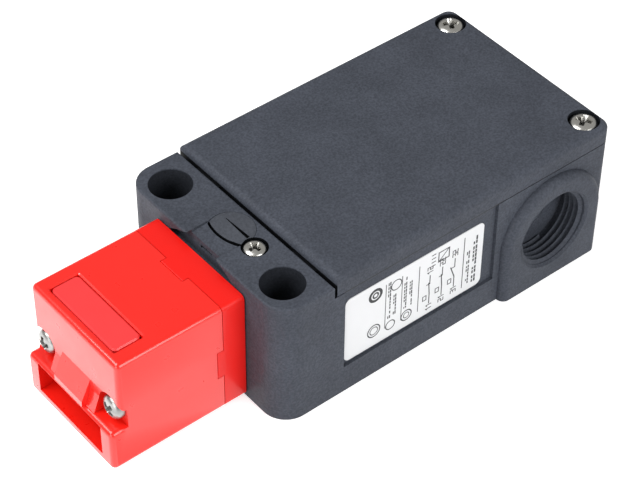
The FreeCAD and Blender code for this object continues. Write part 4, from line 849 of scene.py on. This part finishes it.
def chamfer_opening(width=0.42 * MM, depth=0.35 * MM):
    low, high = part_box("slot_plug")
    top = high.z
    gap = 0.2 * MM
    shape = bmesh.new()
    shape.from_mesh(frame["nodes"]["head_cap"].data)
    bmesh.ops.remove_doubles(shape, verts=shape.verts, dist=1e-6)
    mesh = bpy.data.meshes.new("head_cap_chamfered")
    shape.to_mesh(mesh)
    shape.free()
    cap = new_piece("head_cap_chamfered", mesh, FINISHES["red_enamel"])
    round_seam(cap)
    inner = rounded_box(low, high, gap * 0.8, 0.5 * MM)
    outer = rounded_box(low, high, gap + width * 1.2, 0.9 * MM)
    frustum = loft("cutter", [(inner, top - depth), (outer, top + depth * 0.2)])
    cutter = new_piece("cutter", frustum)
    trim = cap.modifiers.new("chamfer", "BOOLEAN")
    trim.object = cutter
    trim.operation = "DIFFERENCE"
    trim.solver = "EXACT"
    settle(cap)
    bpy.data.objects.remove(cutter)
    soften(cap.data, 20)
    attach(cap, "switch_body")
    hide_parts("head_cap")
    print("cap faces:", len(cap.data.polygons))


chamfer_opening()

# %% [markdown]
# The base gets the same rounded edge, so the joint reads as a fine groove.

# %% Round the base's edge


def round_base():
    base = new_piece("head_base_rounded", frame["nodes"]["head_base"].data.copy(), BASE_ENAMEL)
    round_seam(base)
    soften(base.data, 20)
    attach(base, "switch_body")
    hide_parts("head_base")


round_base()

# %% [markdown]
# ## The cover's parting line
# The cover's lower edge is chamfered, and the seal behind it fills the groove. The parting line
# shows as a dark line round the housing, so a slim ring of the same rubber stands just inside the
# edge: partly the seal, and partly a dark strip that paints the shade in the joint.

# %% Make the seal's edge


def seal_edge(back=0.13 * MM, thick=0.4 * MM, low=0.12 * MM, high=0.27 * MM):
    cover_low, cover_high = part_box("cover")
    level = cover_low.z
    start = cover_high.x - 81.6 * MM
    outer = rounded_box(Vector((start, cover_low.y)), Vector((cover_high.x, cover_high.y)),
                        -back, 2.7 * MM)
    inner = rounded_box(Vector((start, cover_low.y)), Vector((cover_high.x, cover_high.y)),
                        -back - thick, 2.3 * MM)
    shape = bmesh.new()
    section = [(outer, level - low), (outer, level + high), (inner, level + high),
               (inner, level - low)]
    rows = [[shape.verts.new((x, y, z)) for x, y in outline] for outline, z in section]
    for row, after in zip(rows, rows[1:] + rows[:1]):
        for k in range(len(row)):
            n = (k + 1) % len(row)
            shape.faces.new((row[k], row[n], after[n], after[k]))
    mesh = bpy.data.meshes.new("seal_edge")
    shape.to_mesh(mesh)
    shape.free()
    soften(mesh, 40)
    ring = new_piece("seal_edge", mesh, FINISHES["gasket_rubber"])
    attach(ring, "cover")


seal_edge()

# %% [markdown]
# ## Coil
# The winding is a bobbin full of round wire. Turning a scalloped profile gives every layer's
# outermost turns at once, and each turn is as thick as the real wire looks.

# %% Wind the coil


def wind_coil(wire=0.55 * MM, inset=0.25 * MM):
    low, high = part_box("coil_winding")
    middle = (low + high) / 2
    outer = (high.x - low.x) / 2 - inset
    inner = 4.62 * MM
    half = (high.y - low.y) / 2
    turns = round(2 * half / wire)
    pitch = 2 * half / turns
    profile = [(inner, -half)]
    for k in range(turns):
        for step in range(7):
            angle = math.pi * step / 6
            profile.append((outer - pitch / 2 + pitch / 2 * math.sin(angle) + inset * 0.6,
                            -half + pitch * k + pitch / 2 * (1 - math.cos(angle))))
    profile.append((inner, half))
    shape = bmesh.new()
    sides, rows = 72, []
    turn = Matrix.Rotation(-math.pi / 2, 3, "X")
    for k in range(sides):
        angle = 2 * math.pi * k / sides
        rows.append([shape.verts.new(middle + turn @ Vector((r * math.cos(angle),
                                                           r * math.sin(angle), z)))
                     for r, z in profile])
    count = len(profile)
    for k, row in enumerate(rows):
        after = rows[(k + 1) % sides]
        for j in range(count):
            n = (j + 1) % count
            shape.faces.new((row[j], after[j], after[n], row[n]))
    bmesh.ops.remove_doubles(shape, verts=shape.verts, dist=1e-7)
    mesh = bpy.data.meshes.new("coil_turns")
    shape.to_mesh(mesh)
    shape.free()
    soften(mesh, 50)
    coil = new_piece("coil_turns", mesh, FINISHES["coil_copper"])
    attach(coil, "switch_body")
    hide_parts("coil_winding")
    print("coil:", turns, "turns on show")


wind_coil()

# %% [markdown]
# ## Label print
# The print is flat ink on the label: ruled lines, blocks that stand for small text, plain
# rings, and three contact symbols with their terminal numbers. The text reads upwards, so a
# column runs along Z and the next column is further along X.

# %% Drawing with strokes
LABEL_LOW, LABEL_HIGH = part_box("rating_label")
INK_Y = LABEL_LOW.y - 0.012 * MM
ink_faces = []


def on_label(column, row):
    """The point at mm along X from the label's front edge and mm up from its lower edge."""
    return Vector((LABEL_LOW.x + column * MM, INK_Y, LABEL_LOW.z + row * MM))


def stroke(first, last, width=0.24):
    a, b = on_label(*first), on_label(*last)
    along = (b - a).normalized()
    side = Vector((0, -1, 0)).cross(along) * (width * MM / 2)
    a, b = a - along * (width * MM / 2), b + along * (width * MM / 2)
    ink_faces.append([a - side, b - side, b + side, a + side])


def path(points, width=0.24):
    for first, last in zip(points, points[1:]):
        stroke(first, last, width)


def circle(column, row, radius, width=0.24, sides=36):
    points = [(column + radius * math.cos(2 * math.pi * k / sides),
               row + radius * math.sin(2 * math.pi * k / sides)) for k in range(sides + 1)]
    path(points, width)


DIGITS = {
    "1": [[(0.1, 1.6), (0.5, 2), (0.5, 0)]],
    "2": [[(0, 2), (1, 2), (1, 1), (0, 1), (0, 0), (1, 0)]],
    "3": [[(0, 2), (1, 2), (1, 0), (0, 0)], [(0.2, 1), (1, 1)]],
}


def number(text, column, row, height=1.5, width=0.24):
    """Digits that read upwards, with their feet at column and their left edge at row."""
    scale = height / 2
    for place, digit in enumerate(text):
        for line in DIGITS[digit]:
            path([(column - v * scale, row + (u + 1.5 * place) * scale) for u, v in line], width)


def words(column, low, high, height, seed):
    """A line of small blocks that stands for one line of text."""
    state, row = seed, low
    while row < high - 0.3:
        state = (state * 1103515245 + 12345) % 2147483648
        length = 0.25 + 0.55 * (state / 2147483648)
        end = min(row + length, high)
        stroke((column, row), (column, end), height * 0.34)
        if state % 3:
            stroke((column - height * 0.5, row), (column - height * 0.5, end - 0.1), height * 0.3)
        row = end + (0.6 if state % 5 == 0 else 0.22) + height * 0.3


# %% Draw the label


def contact(column, low, numbers, closed_gap=0.0):
    """A contact: two leads, a leaning blade, its actuator square and two numbers."""
    stroke((column, low + 2.0), (column, low + 5.0), 0.28)
    stroke((column, low + 5.0), (column - 1.2 + closed_gap, low + 8.4), 0.3)
    stroke((column, low + 8.1), (column, low + 10.6), 0.28)
    stroke((column - 0.9, low + 8.1), (column, low + 8.1), 0.26)
    path([(column - 1.9, low + 3.6), (column - 1.9, low + 4.9), (column - 0.9, low + 4.9),
          (column - 0.9, low + 3.6), (column - 1.9, low + 3.6)], 0.24)
    number(numbers[0], column + 0.7, low)
    number(numbers[1], column + 0.7, low + 11.4)


def draw_label():
    length = (LABEL_HIGH.x - LABEL_LOW.x) / MM
    height = (LABEL_HIGH.z - LABEL_LOW.z) / MM
    circle(8.4, 4.6, 1.75, 0.3)
    circle(8.4, 4.6, 1.1, 0.22)
    circle(8.6, 15.6, 1.6, 0.7)
    circle(8.6, 15.6, 0.7, 0.4)
    stroke((11.6, 3.4), (11.6, height - 2.2), 0.2)
    words(12.9, 6.0, 17.2, 1.0, 11)
    words(14.5, 6.4, 12.6, 1.0, 23)
    circle(13.2, 3.5, 1.3, 0.26)
    circle(14.6, 15.2, 1.45, 0.26)
    stroke((16.3, 3.0), (16.3, height - 2.4), 0.2)
    words(17.6, 6.3, 15.6, 1.0, 37)
    words(19.2, 6.3, 14.4, 1.0, 41)
    circle(17.9, 3.6, 1.5, 0.3)
    circle(17.9, 3.6, 0.8, 0.2)
    stroke((21.3, 2.6), (21.3, height - 2.6), 0.22)
    contact(24.6, 1.2, ("11", "12"), 0.9)
    contact(28.3, 1.6, ("21", "22"), 0.9)
    contact(32.0, 2.0, ("31", "32"))
    path([(26.9, 14.6), (26.9, 17.4), (30.0, 17.4), (30.0, 14.6), (26.9, 14.6)], 0.3)
    stroke((26.9, 14.6), (30.0, 17.4), 0.26)
    for side in (14.4, 15.5, 16.6, 17.7):
        stroke((24.9, side), (25.9, side), 0.26)
    stroke((34.6, 1.8), (34.6, height - 1.8), 0.24)
    words(36.3, 2.4, height - 6.4, 1.1, 53)
    words(38.4, 2.0, height - 2.6, 1.5, 67)
    print(f"label: {length:.1f} x {height:.1f} mm")


draw_label()

# %% [markdown]
# Strokes cross, so each one is laid a hair further out than the one before. All of them
# together are still thinner than a real coat of ink.

# %% Make the ink
shape = bmesh.new()
for layer, corners in enumerate(ink_faces):
    lift = Vector((0, -1, 0)) * (layer * 0.00002 * MM)
    shape.faces.new([shape.verts.new(corner + lift) for corner in corners])
ink_mesh = bpy.data.meshes.new("label_ink")
shape.to_mesh(ink_mesh)
shape.free()
facing = sum(1 for face in ink_mesh.polygons if face.normal.y < 0)
if facing < len(ink_mesh.polygons) / 2:
    ink_mesh.flip_normals()
ink = new_piece("label_ink", ink_mesh, finish("label_ink", (0.035, 0.037, 0.042), 0.5, grain=0.3,
                                              bump=0.0, vary=0.15, blotch=3.0))
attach(ink, "switch_body")
print("strokes:", len(ink_faces), "facing out:", facing)
